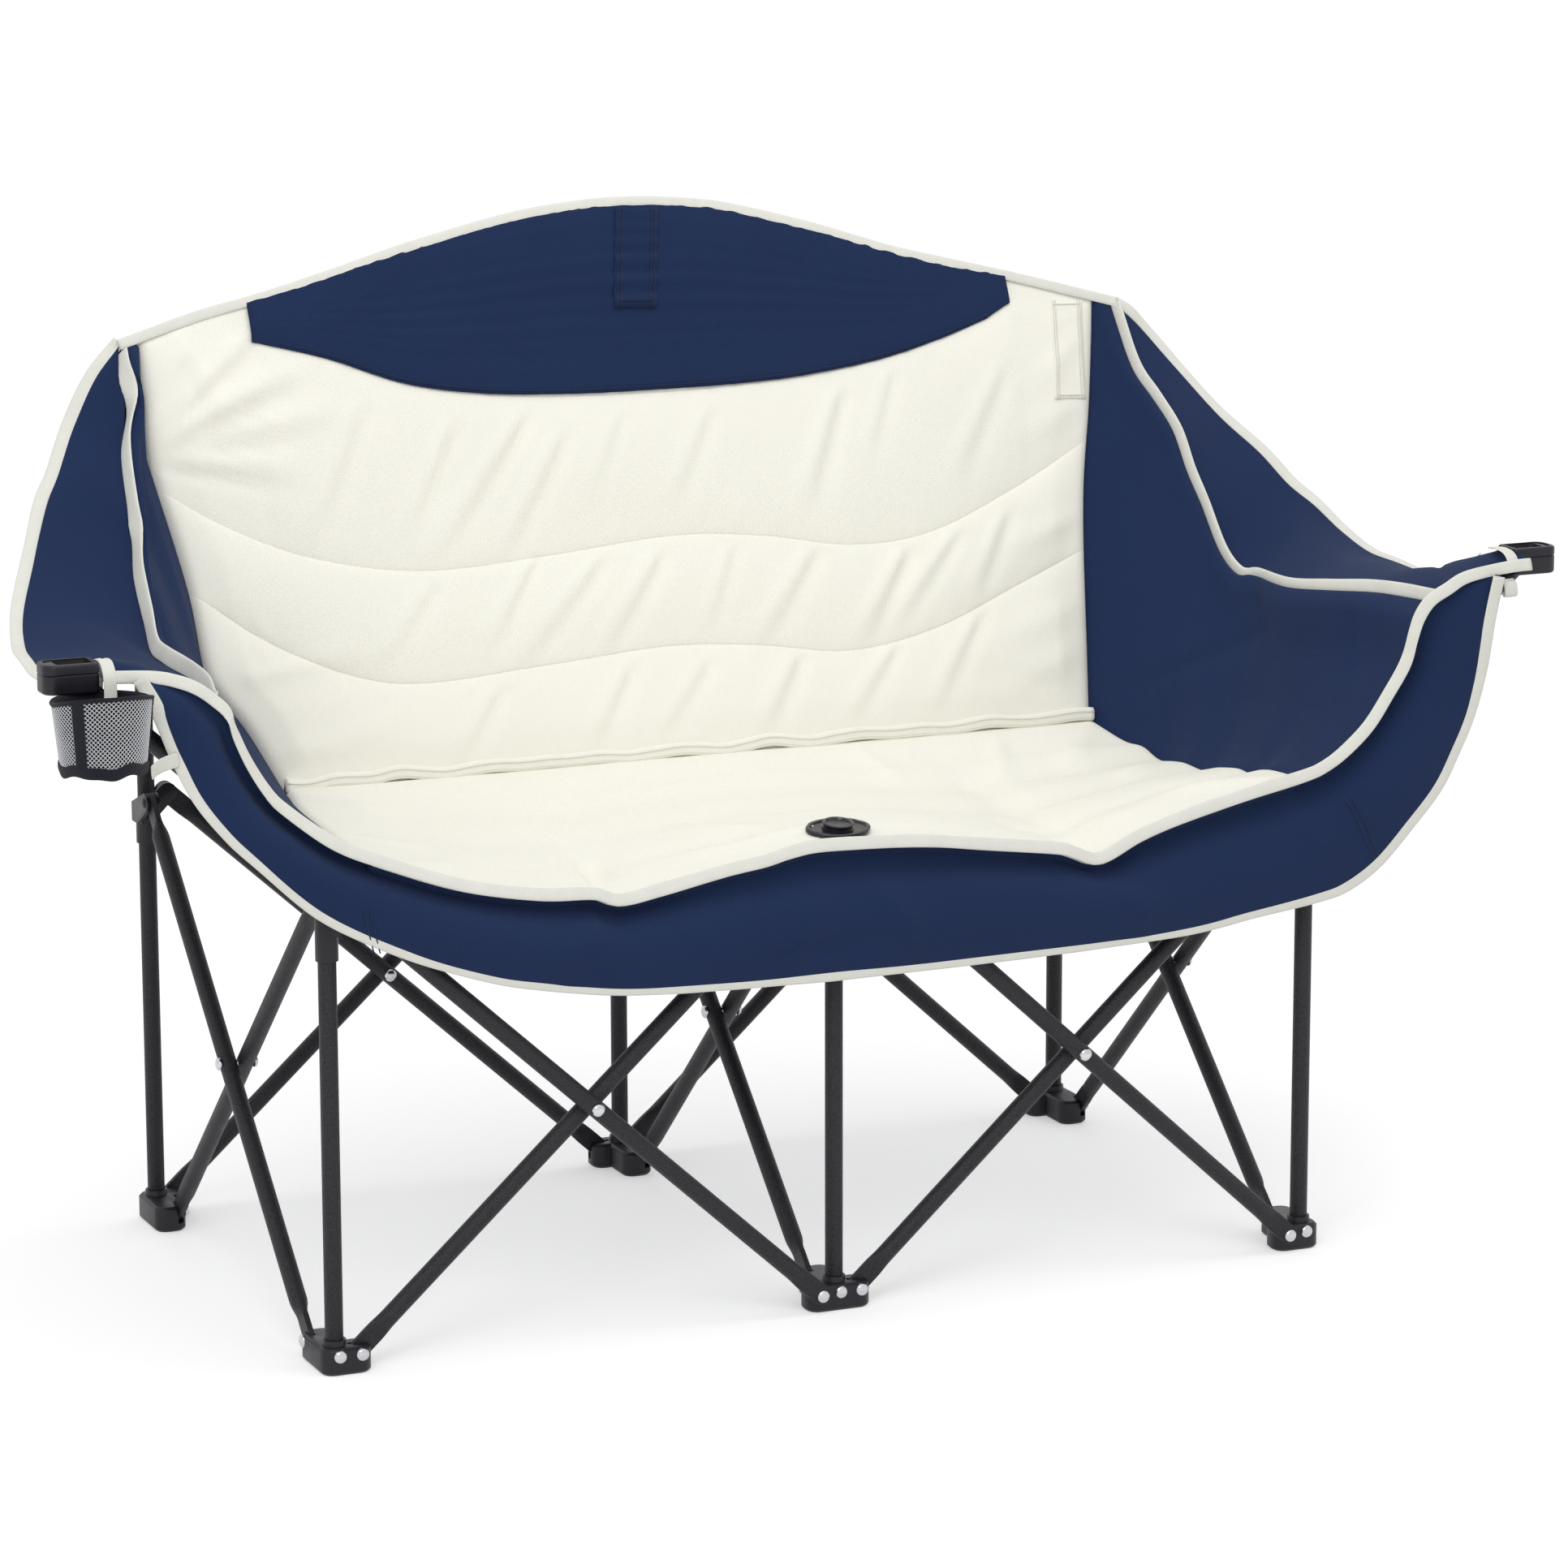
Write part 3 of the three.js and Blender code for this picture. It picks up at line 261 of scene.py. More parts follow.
navyCloth = weaveMaterial("navyCloth", (0.0078, 0.0205, 0.066), (0.0125, 0.028, 0.088), 0.9, 0.03, 2600, 0.35)
creamCloth = weaveMaterial("creamCloth", (0.86, 0.845, 0.755), (0.90, 0.885, 0.80), 0.85, 0.03, 2600, 0.22)
tapeCloth = tapeMaterial("tapeCloth", (0.68, 0.68, 0.62), (0.78, 0.78, 0.72))
# Black webbing; its colour also paints the shade inside the cup holder's net.
blackWebbingAndShade = weaveMaterial("blackWebbingAndShade", (0.006, 0.007, 0.011), (0.012, 0.013, 0.02), 0.8, 0.1, 2200, 0.4)
netThread = hardMaterial("netThread", (0.52, 0.53, 0.56), (0.74, 0.75, 0.77), 0.75, 0, 500, 0.1, 0.3)
framePaint = hardMaterial("framePaint", (0.003, 0.003, 0.005), (0.044, 0.045, 0.052), 0.46, 0.05, 760, 1.0, 0.32, 0.9)
blackPlastic = hardMaterial("blackPlastic", (0.008, 0.008, 0.012), (0.014, 0.013, 0.02), 0.42, 0, 900, 0.12, 0.36)
brightSteel = hardMaterial("brightSteel", (0.52, 0.53, 0.55), (0.68, 0.69, 0.71), 0.26, 1, 300, 0.05)
glossPlastic = hardMaterial("glossPlastic", (0.008, 0.007, 0.011), (0.013, 0.012, 0.018), 0.22, 0, 900, 0.04)
navyThread = weaveMaterial("navyThread", (0.004, 0.011, 0.036), (0.02, 0.036, 0.095), 0.8, 0.1, 3000, 0.2)
creamThread = weaveMaterial("creamThread", (0.66, 0.65, 0.58), (0.76, 0.75, 0.68), 0.8, 0.1, 3000, 0.2)
clothOf = {"navy_fabric": navyCloth, "cream_fabric": creamCloth}
threadOf = {"navy_fabric": navyThread, "cream_fabric": creamThread}
print("stage: materials")


# Curves and surfaces
def evenly(points, count):
    step = np.linalg.norm(np.diff(points, axis=0), axis=1)
    along = np.concatenate([[0], np.cumsum(step)])
    at = np.linspace(0, along[-1], count)
    return np.stack([np.interp(at, along, points[:, k]) for k in range(points.shape[1])], axis=1)


def smooth(points, count):
    p = np.array(points, float)
    ends = np.vstack([2 * p[0] - p[1], p, 2 * p[-1] - p[-2]])
    out = []
    for k in range(1, len(ends) - 2):
        a, b, c, d = ends[k - 1:k + 3]
        for t in np.linspace(0, 1, 20, endpoint=False):
            out.append(0.5 * (2 * b + (c - a) * t + (2 * a - 5 * b + 4 * c - d) * t * t
                              + (3 * b - a - 3 * c + d) * t ** 3))
    out.append(p[-1])
    return evenly(np.array(out), count)


def coons(bottom, top, left, right):
    u = np.linspace(0, 1, len(bottom))[None, :, None]
    v = np.linspace(0, 1, len(left))[:, None, None]
    across = (1 - v) * bottom[None] + v * top[None]
    along = (1 - u) * left[:, None] + u * right[:, None]
    corners = ((1 - u) * (1 - v) * bottom[0] + u * (1 - v) * bottom[-1]
               + (1 - u) * v * top[0] + u * v * top[-1])
    return across + along - corners


def ruled(first, second, rows):
    v = np.linspace(0, 1, rows)[:, None, None]
    return (1 - v) * first[None] + v * second[None]


def normals(grid):
    n = np.cross(np.gradient(grid, axis=1), np.gradient(grid, axis=0))
    return n / np.maximum(np.linalg.norm(n, axis=2, keepdims=True), 1e-9)


def meshObject(name, verts, faces, materials, uvs, faceMaterial=None):
    mesh = bpy.data.meshes.new(name)
    mesh.from_pydata([tuple(v) for v in toRow(verts)], [], faces)
    for material in materials:
        mesh.materials.append(material)
    if faceMaterial is not None:
        mesh.polygons.foreach_set("material_index", faceMaterial)
    mesh.polygons.foreach_set("use_smooth", [True] * len(mesh.polygons))
    layer = mesh.uv_layers.new(name="UVMap")
    corner = np.zeros(len(mesh.loops), int)
    mesh.loops.foreach_get("vertex_index", corner)
    layer.data.foreach_set("uv", np.asarray(uvs, float)[corner].ravel())
    mesh.update()
    made = bpy.data.objects.new(name, mesh)
    bpy.context.scene.collection.objects.link(made)
    return made


def lengthsAlong(grid, axis):
    step = np.linalg.norm(np.diff(grid, axis=axis), axis=2)
    total = np.cumsum(step, axis=axis)
    pad = [(0, 0), (0, 0)]
    pad[axis] = (1, 0)
    return np.pad(total, pad)


# A closed sheet with a front and a rear side; with two materials the rear and the rim take the second.
def shell(name, grid, thickness, materials, roundEdge=0.0, rear=None):
    m, n = grid.shape[:2]
    front = grid
    back = grid - normals(grid) * thickness if rear is None else rear
    if roundEdge:
        middle = (front + back) / 2
        reachU = lengthsAlong(grid, 1)
        reachV = lengthsAlong(grid, 0)
        edge = np.minimum(np.minimum(reachU, reachU[:, -1:] - reachU),
                          np.minimum(reachV, reachV[-1:] - reachV))
        t = np.clip(edge / roundEdge, 0, 1)
        full = np.sqrt(np.clip(1 - (1 - t) ** 2, 0.02, 1))[..., None]
        front = middle + (front - middle) * full
        back = middle + (back - middle) * full
    verts = np.vstack([front.reshape(-1, 3), back.reshape(-1, 3)])
    index = np.arange(m * n).reshape(m, n)
    a, b, c, d = index[:-1, :-1], index[:-1, 1:], index[1:, 1:], index[1:, :-1]
    top = np.stack([a, b, c, d], -1).reshape(-1, 4)
    count = m * n
    under = np.stack([a, d, c, b], -1).reshape(-1, 4) + count
    rim = np.concatenate([index[0, :-1], index[:-1, -1], index[-1, :0:-1], index[:0:-1, 0]])
    nextRim = np.roll(rim, -1)
    sides = np.stack([rim, rim + count, nextRim + count, nextRim], -1)
    faces = [tuple(int(k) for k in f) for f in np.vstack([top, under, sides])]
    which = [0] * len(top) + [1] * (len(under) + len(sides)) if len(materials) > 1 else None
    uv = np.stack([lengthsAlong(grid, 1), lengthsAlong(grid, 0)], -1).reshape(-1, 2) / 1000
    return meshObject(name, verts, faces, materials, np.vstack([uv, uv]), which)


# A tape or thread along a path. wide points across it, to where inset moves it.
tapeForm = {"sides": 14, "squareX": 0.7, "squareY": 0.8, "wobble": 0.08, "wobbleScale": 0.02}


def tape(name, path, wide, width, thick=2.6, inset=0, cloth=tapeCloth):
    tangent = np.gradient(path, axis=0)
    tangent /= np.linalg.norm(tangent, axis=1, keepdims=True)
    wide = np.broadcast_to(np.asarray(wide, float), path.shape)
    wide = wide - tangent * (wide * tangent).sum(1, keepdims=True)
    wide /= np.maximum(np.linalg.norm(wide, axis=1, keepdims=True), 1e-9)
    up = np.cross(tangent, wide)
    sides = tapeForm["sides"]
    angle = np.arange(sides) * 2 * math.pi / sides
    c, s = np.cos(angle), np.sin(angle)
    x = width / 2 * np.sign(c) * np.abs(c) ** tapeForm["squareX"]
    y = thick / 2 * np.sign(s) * np.abs(s) ** tapeForm["squareY"]
    centre = path + wide * inset
    wobble = np.array([noise.noise(Vector(p) * tapeForm["wobbleScale"]) for p in path])[:, None, None]
    spread = x[None, :, None] * (1 + tapeForm["wobble"] * wobble)
    rings = centre[:, None] + wide[:, None] * spread + up[:, None] * y[None, :, None]
    count = len(path)
    faces = []
    for r in range(count - 1):
        for k in range(sides):
            a, b = r * sides + k, r * sides + (k + 1) % sides
            faces.append((a, b, b + sides, a + sides))
    faces.append(tuple(range(sides - 1, -1, -1)))
    faces.append(tuple(range((count - 1) * sides, count * sides)))
    run = np.concatenate([[0], np.cumsum(np.linalg.norm(np.diff(path, axis=0), axis=1))]) / 1000
    uv = np.stack([np.repeat(run, sides), np.tile(x / width + 0.5, count)], 1)
    return meshObject(name, rings.reshape(-1, 3), faces, [cloth], uv)


# A row of stitches, laid flat on what faces the front unless wide says otherwise
def stitches(name, line, kind, slotName, width=1.1, thick=0.9, wide=None):
    if wide is None:
        wide = np.cross(np.gradient(line, axis=0), (0, -1, 0))
    crumple(tape(name, line, wide, width, thick, cloth=threadOf[slotName]), kind)


# A hill that is 1 at t = 0 and 0 from 1 on
def hill(t):
    t = np.clip(np.abs(t), 0, 1)
    return 0.5 + 0.5 * np.cos(math.pi * t)


# An arch from 0 to 1 and back while t runs from 0 to 1
def arch(t, power=1):
    return np.sin(math.pi * t) ** power


# Shares along the columns and the rows of a grid
def shares(columns, rows):
    return np.linspace(0, 1, columns)[None, :], np.linspace(0, 1, rows)[:, None]


# 0 at the edges of a grid and 1 within, as steep as the two factors say
def fromEdges(u, v, acrossFactor, alongFactor):
    return np.clip(np.minimum(np.minimum(u, 1 - u) * acrossFactor, np.minimum(v, 1 - v) * alongFactor), 0, 1)


foldForm = {"narrow": 0.6, "widen": 0.9, "rise": 0.12, "fall": 0.45}


# A soft fold in a surface: a ridge along the line from start to end, in the plane of two axes.
def foldAlong(grid, axes, start, end, width, height):
    p = grid[..., list(axes)]
    a, b = np.array(start, float), np.array(end, float)
    run = b - a
    length = np.linalg.norm(run)
    run /= length
    rel = p - a
    along = rel @ run / length
    off = rel @ np.array([-run[1], run[0]])
    spread = width * (foldForm["narrow"] + foldForm["widen"] * np.clip(along, 0, 1))
    shape = np.exp(-(off / spread) ** 2)
    ends = np.clip(along / foldForm["rise"], 0, 1) * np.clip((1 - along) / foldForm["fall"], 0, 1)
    return height * shape * ends * ends * (3 - 2 * ends)


def addFolds(lift, grid, axes, marks, factor=1):
    for start, end, width, height in marks:
        lift += factor * foldAlong(grid, axes, start, end, width, height)


def cloudHeight(grid, scale, height):
    flat = grid.reshape(-1, 3) * scale
    values = [noise.noise(Vector(p)) for p in flat]
    return np.array(values).reshape(grid.shape[:2]) * height


def atDepth(y, pairs):
    return [(x, y, z) for x, z in pairs]


# Seam lines, measured on the left and right sides separately
topBorder = [(-496, 465, 841), (-425, 472, 859), (-369, 476, 871), (-296, 484, 888), (-213, 492, 910),
             (-114, 501, 931), (-40, 505, 940), (20, 505, 941.5), (70, 504, 938), (116, 501, 931),
             (197, 493, 910), (277, 482, 885), (392, 471, 857), (505, 459, 827)]
backSeamRight = [(405, 304, 448), (413, 323, 494), (437, 383, 641), (460, 419, 730), (475, 445, 790), (482, 458, 828)]
backSeamLeft = [(-405, 304, 448), (-431, 325, 499), (-452, 337, 529), (-463, 345, 552), (-466, 370, 610),
                (-473, 389, 656), (-484, 412, 713), (-489, 425, 745), (-485, 445, 795), (-482, 462, 838)]
innerRight = [(500, 452, 823), (506, 418, 767), (516, 392, 738), (523, 362, 709), (526, 338, 673), (529, 315, 645),
              (531, 280, 604), (535, 250, 586), (542, 230, 588), (540, 165, 589), (551, 106, 596), (568, 55, 602),
              (578, 15, 604), (585, -28, 605)]
innerLeft = [(-499, 456, 828), (-501, 442, 813), (-500, 428, 786), (-514, 402, 749), (-522, 359, 704),
             (-524, 342, 679), (-530, 320, 651), (-533, 284, 616), (-538, 251, 597), (-536, 225, 592),
             (-532, 191, 589), (-536, 144, 591), (-552, 60, 597), (-566, 0, 596), (-573, -28, 600)]
outerRight = [(504, 458, 822), (517, 455, 813), (535, 452, 794), (561, 430, 757), (589, 397, 716), (614, 360, 684),
              (631, 332, 656), (645, 305, 638), (655, 272, 618), (662, 230, 603), (666, 184, 599), (666, 130, 596),
              (662, 70, 600), (660, 30, 615), (662, 14, 627)]
outerLeft = [(-498, 463, 835), (-526, 455, 808), (-554, 437, 768), (-578, 410, 729), (-596, 388, 706),
             (-619, 348, 668), (-646, 294, 629), (-660, 244, 607), (-664, 206, 601), (-667, 149, 596),
             (-664, 80, 600), (-660, 20, 613), (-661, 0, 625)]
frontRight = atDepth(-33, [(684, 629), (656, 628), (612, 622), (591, 612), (574, 603), (563, 589), (557, 573),
    (549, 547), (532, 520), (512, 492), (487, 470), (467, 458), (449, 452), (396, 441), (330, 426), (281, 411),
    (242, 394), (218, 401), (200, 407), (130, 417), (73, 425), (30, 428)])
frontLeft = atDepth(-33, [(-30, 430), (-61, 426), (-82, 421), (-118, 416), (-178, 405), (-218, 399), (-242, 407),
    (-293, 411), (-360, 425), (-430, 451), (-475, 472), (-518, 505), (-533, 522), (-548, 547), (-559, 572),
    (-565, 590), (-577, 602), (-590, 612), (-605, 619), (-628, 625), (-668, 628)])
hemLine = atDepth(-48, [(-645, 626), (-630, 598), (-613, 556), (-596, 521), (-572, 490), (-549, 467), (-490, 413),
    (-411, 371), (-340, 345), (-294, 334), (-231, 323), (-162, 318), (-21, 315), (193, 317), (324, 322), (390, 331),
    (459, 340), (488, 347), (520, 366), (551, 397), (581, 431), (599, 464), (614, 497), (626, 539), (634, 586),
    (642, 622)])
seatSideRight = [(405, 304, 448), (422, 262, 433), (430, 238, 431), (434, 208, 423), (437, 170, 428), (440, 130, 427),
                 (442, 104, 435), (444, 74, 440), (445, 50, 440), (446, 20, 449), (449, -33, 452)]
seatSideLeft = [(-405, 304, 448), (-416, 230, 446), (-424, 150, 447), (-430, 80, 449), (-433, 20, 451),
                (-440, -33, 456)]
lensLow = [(-374, 831), (-306, 813), (-233, 787), (-156, 774), (-76, 769), (4, 768), (87, 769), (172, 774),
           (259, 787), (349, 811), (387, 829)]
channelHigh = [(-482, 708), (-430, 676), (-350, 642), (-244, 624), (-120, 630), (7, 640), (100, 634), (186, 620),
               (270, 626), (360, 658), (444, 697), (480, 715)]
channelLow = [(-470, 622), (-400, 572), (-330, 540), (-260, 527), (-130, 535), (-10, 543), (80, 537), (169, 526),
              (260, 540), (350, 572), (440, 605)]

lensLow, channelHigh, channelLow = (smooth(atDepth(0, line), 160)[:, [0, 2]]
                                    for line in (lensLow, channelHigh, channelLow))
frontLine = smooth(frontLeft[::-1] + frontRight[::-1], 260)
hem = smooth(hemLine, 260)


def crossing(line, x):
    return np.interp(x, line[:, 0], line[:, 1])


# Back cushion
back = {"columns": 190, "rows": (30, 28, 34, 18), "thickness": 19, "puff": 7.5, "hollow": 9, "hollowReach": 500,
        "pucker": 0.9, "puckerAt": 9, "puckerScale": (0.075, 0.02), "crowns": (1, 0.95, 1, 0.25), "crownPower": 0.55,
        "cornerAt": 372, "cornerFade": 14, "cornerPuff": 0.8, "gather": 0.86, "leastGap": 0.08, "lastSeam": 0.955,
        "edges": (24, 12), "rest": 1.5, "cloud": (0.011, 2.0), "rearCloud": (0.006, 3), "rearBow": 2.5,
        "roundEdge": 14}
seatSeam = evenly(np.array([(-405, 301, 438), (405, 301, 438)], float), back["columns"])
backTop = smooth([backSeamLeft[-1], *topBorder[1:-1], backSeamRight[-1]], back["columns"])
backLeft = smooth([seatSeam[0], *backSeamLeft[1:]], 200)
backRight = smooth([seatSeam[-1], *backSeamRight[1:]], 200)
backDense = coons(seatSeam, backTop, backLeft, backRight)
denseAt = np.linspace(0, 1, 200)
backBase, seamShare, segmentAt, upperShare = [], [], [], []
for k in range(back["columns"]):
    # the rows of the grid follow the seams and gather near them
    line = backDense[:, k]
    marks = [0.0]
    for seam in (channelLow, channelHigh, lensLow):
        marks.append(float(np.interp(0, line[:, 2] - crossing(seam, line[:, 0]), denseAt)))
    marks[3] = min(max(marks[3], marks[2] + back["leastGap"]), back["lastSeam"])
    marks.append(1.0)
    places, share, part, upper = [], [], [], []
    for number, rows in enumerate(back["rows"]):
        t = np.linspace(0, 1, rows, endpoint=number == 3)
        eased = t - back["gather"] * np.sin(2 * math.pi * t) / (2 * math.pi)
        spot = marks[number] + (marks[number + 1] - marks[number]) * eased
        places += list(spot)
        upper += list(np.clip((spot - marks[2]) / (marks[4] - marks[2]), 0, 1))
        share += list(eased)
        part += [number] * rows
    backBase.append(np.stack([np.interp(places, denseAt, line[:, axis]) for axis in range(3)], 1))
    seamShare.append(share)
    segmentAt.append(part)
    upperShare.append(upper)
backBase = np.stack(backBase, 1)
seamShare, segmentAt, upperShare = np.array(seamShare).T, np.array(segmentAt).T, np.array(upperShare).T
x, z = backBase[..., 0], backBase[..., 2]
u = np.linspace(0, 1, back["columns"])[None, :]
v = lengthsAlong(backBase, 0) / lengthsAlong(backBase, 0)[-1:]
edgeFade = fromEdges(u, v, *back["edges"])
lift = arch(seamShare, back["crownPower"]) * back["puff"] * np.array(back["crowns"])[segmentAt]
corner = np.clip((np.abs(x) - back["cornerAt"]) / back["cornerFade"], 0, 1) * (segmentAt > 1)
lift += corner * (back["cornerPuff"] * back["puff"] * np.clip(arch(upperShare), 0, 1) ** back["crownPower"] - lift)
fromSeam = np.minimum(seamShare, 1 - seamShare) * 100
scaleX, scaleZ = back["puckerScale"]
wander = np.array([noise.noise(Vector((a * scaleX, b * scaleZ, 3))) for a, b in zip(x.ravel(), z.ravel())])
nearSeam = np.exp(-((fromSeam - back["puckerAt"]) / back["puckerAt"]) ** 2)
lift += back["pucker"] * wander.reshape(x.shape) * nearSeam * (segmentAt < 3)
hollow = back["hollow"] * hill(x / back["hollowReach"]) * arch(v)
lift -= hollow
pull = (-500, 738)
for end, width, height in (((-310, 815), 9, 7.0), ((-345, 862), 8, 4.5), ((-420, 868), 8, 3.2), ((-270, 770), 8, 4.0),
                           ((-330, 712), 8, 4.5)):
    addFolds(lift, backBase, (0, 2), [(pull, end, width, height)])
    addFolds(lift, backBase, (0, 2), [((pull[0], pull[1] - 9), (end[0], end[1] - 16), width * 0.8, height * 0.6)], -1)
addFolds(lift, backBase, (0, 2), (
    ((-450, 850), (-400, 740), 9, 2.6), ((-395, 858), (-345, 745), 9, -2.2), ((455, 640), (330, 600), 9, 2.6),
    ((452, 560), (300, 520), 10, 2.6), ((440, 520), (280, 470), 9, 2.6), ((418, 470), (250, 500), 9, -2.2),
    ((-410, 470), (-260, 500), 10, 2.6), ((-440, 540), (-300, 560), 9, 2.2), ((470, 740), (360, 700), 10, 2.2),
    ((465, 800), (390, 740), 10, 2.2)))
# long slanting creases where the cloth hangs slack, a ridge and a valley each
creaseForm = {"run": 1.25, "ridge": 1.9, "valley": 1.6, "valleyTop": 1.7, "valleyFoot": 1.5}
for start, end, width, height in (
        ((-122, 759), (-222, 646), 8, 2.2), ((-194, 755), (-252, 664), 7, 1.8), ((-284, 772), (-346, 662), 9, 1.6),
        ((-87, 741), (-162, 640), 8, 1.8), ((-30, 752), (-66, 690), 7, 1.0), ((60, 752), (10, 672), 8, 1.2),
        ((195, 763), (142, 660), 9, 1.9), ((250, 776), (214, 700), 7, 1.1), ((366, 772), (300, 676), 9, 1.3),
        ((-134, 632), (-192, 556), 7, 1.9), ((-70, 626), (-166, 538), 9, 1.9), ((-10, 628), (-82, 545), 8, 2.0),
        ((62, 630), (22, 556), 7, 1.2), ((144, 620), (74, 542), 9, 1.9), ((238, 615), (176, 536), 9, 2.1),
        ((292, 625), (214, 548), 8, 1.6), ((-240, 612), (-300, 545), 8, 1.4), ((345, 640), (300, 570), 8, 1.4),
        ((-190, 520), (-240, 462), 8, 1.8), ((-60, 530), (-110, 462), 8, 2.0), ((20, 530), (-40, 466), 7, 1.5),
        ((110, 528), (60, 462), 9, 2.0), ((210, 528), (150, 466), 8, 1.7), ((300, 550), (240, 474), 8, 1.5)):
    crest = [a + creaseForm["run"] * (b - a) for a, b in zip(start, end)]
    addFolds(lift, backBase, (0, 2), [(start, crest, width, creaseForm["ridge"] * height)])
    valley = (start[0] + creaseForm["valleyTop"] * width, start[1])
    foot = (crest[0] + creaseForm["valleyFoot"] * width, crest[1])
    addFolds(lift, backBase, (0, 2), [(valley, foot, width, creaseForm["valley"] * height)], -1)
lift += cloudHeight(backBase, *back["cloud"])
outward = normals(backBase)
outward = outward if outward[len(backBase) // 2, 90, 1] < 0 else -outward
backGrid = backBase + outward * (lift * edgeFade + back["rest"])[..., None]
rearLift = back["rearBow"] * arch(u) * arch(v) + cloudHeight(backBase, *back["rearCloud"]) - hollow
backRear = backBase + outward * (rearLift * edgeFade - back["thickness"])[..., None]
print("stage: back surface")


def faced(grid, direction):
    n = normals(grid)
    middle = n[n.shape[0] // 2, n.shape[1] // 2]
    return grid if float(np.dot(middle, direction)) > 0 else grid[:, ::-1]


turned = faced(backGrid, (0, -1, 0.4)) is not backGrid
frontSide, rearSide = (side[:, ::-1] if turned else side for side in (backGrid, backRear))
backCushion = shell("backCushion", frontSide, back["thickness"], [creamCloth, navyCloth], back["roundEdge"], rearSide)
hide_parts("back_pad")
crumple(backCushion, "back")


# Depth of the back's front side at each x, z of a line or patch
def backSurface(x, z):
    flat = backGrid.reshape(-1, 3)
    out = []
    for px, pz in zip(np.ravel(x), np.ravel(z)):
        d = (flat[:, 0] - px) ** 2 + (flat[:, 2] - pz) ** 2
        near = np.argpartition(d, 4)[:4]
        weight = 1 / (d[near] + 0.5)
        out.append((flat[near, 1] * weight).sum() / weight.sum())
    return np.array(out).reshape(np.shape(x))


# A sheet of navy cloth
def fabricSheet(name, grid, direction, thickness, node, kind):
    laid = faced(grid, direction)
    made = shell(name, laid, thickness, [navyCloth])
    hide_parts(node)
    return crumple(made, kind)


# Navy panel along the top of the back
topPanel = {"columns": 120, "rows": 26, "thickness": 1.4, "raise": 2.6, "bow": 1.2, "left": -376, "right": 388,
            "underTape": 3, "least": 16, "stitchUp": 3.8, "stitchOut": 1.1}
panelX = np.linspace(topPanel["left"], topPanel["right"], topPanel["columns"])
borderXZ = smooth(topBorder, 200)[:, [0, 2]]
panelHigh = crossing(borderXZ, panelX) - topPanel["underTape"]
panelLow = np.minimum(crossing(lensLow, panelX), panelHigh - topPanel["least"])
rowShare = shares(1, topPanel["rows"])[1]
panelZ = panelLow[None] * (1 - rowShare) + panelHigh[None] * rowShare
panelXs = np.repeat(panelX[None], topPanel["rows"], 0)
panelGrid = np.stack([panelXs, backSurface(panelXs, panelZ), panelZ], -1)
panelGrid[..., 1] -= topPanel["raise"]
panelGrid[..., 1] -= topPanel["bow"] * arch(rowShare, 0.5)
fabricSheet("backTopPanel", panelGrid, (0, -1, 0.4), topPanel["thickness"], "back_top_panel",
            "back")
sewnZ = panelLow + topPanel["stitchUp"]
sewnY = backSurface(panelX, sewnZ) - topPanel["raise"] - topPanel["stitchOut"]
stitches("panelStitch", evenly(np.stack([panelX, sewnY, sewnZ], 1)[4:-4], 240), "back", "navy_fabric", 1.2)

patchForm = {"thickness": 1.3, "wide": 41, "stitchOut": np.array([0, 0.5, 0.1])}


# A flat piece of cloth sewn on the back, with its rows of stitches
def sewnPatch(name, corners, slotName, raised):
    first, second, third, fourth = (np.array(c, float) for c in corners)
    grid = ruled(evenly(np.array([first, second]), 14), evenly(np.array([third, fourth]), 14), 26)
    grid[..., 1] = backSurface(grid[..., 0], grid[..., 2]) - raised
    made = shell(name, faced(grid, (0, -1, 0.4)), patchForm["thickness"], [clothOf[slotName]])
    crumple(made, "back")
    lines = [grid[:, 1], grid[:, 2], grid[:, -2], grid[:, -3], grid[1, 1:-1]]
    lines.append(grid[2 if abs(second[0] - first[0]) > patchForm["wide"] else -2, 1:-1])
    for number, line in enumerate(lines):
        stitches(f"{name}Stitch_{number}", evenly(line, 30) - patchForm["stitchOut"], "back", slotName)


sewnPatch("postPocketFront", [(-19, 466, 844), (24, 465, 842), (-3, 502, 934), (40, 501, 932)], "navy_fabric", 5.6)
sewnPatch("cornerPatch", [(417, 423, 739), (453, 422, 737), (432, 459, 829), (466, 458, 828)], "cream_fabric", 0.9)
print("stage: back")

# Seat cushion
seat = {"columns": 200, "rows": 90, "thickness": 13, "sag": 2, "rise": 3.0, "plateReach": 90, "plateDepth": 120,
        "plateStart": 10, "edges": (12, 8), "cloud": (0.011, 2.6), "roundEdge": 9}
seatFront = frontLine[(frontLine[:, 0] > -440) & (frontLine[:, 0] < 449)]
seatFront = evenly(np.vstack([[seatSideLeft[-1]], seatFront, [seatSideRight[-1]]]), seat["columns"])
seatRear = evenly(np.array([(-405, 303, 447), (405, 303, 447)], float), seat["columns"])
seatBase = coons(seatRear, seatFront, smooth(seatSideLeft, seat["rows"]), smooth(seatSideRight, seat["rows"]))
x, y = seatBase[..., 0], seatBase[..., 1]
u, v = shares(seat["columns"], seat["rows"])
overPlate = hill(x / seat["plateReach"]) * np.clip(1 - (y - seat["plateStart"]) / seat["plateDepth"], 0, 1)
lift = -seat["sag"] * arch(v, 1.2) * (1 - overPlate)
lift = lift * arch(u, 0.4) + seat["rise"]
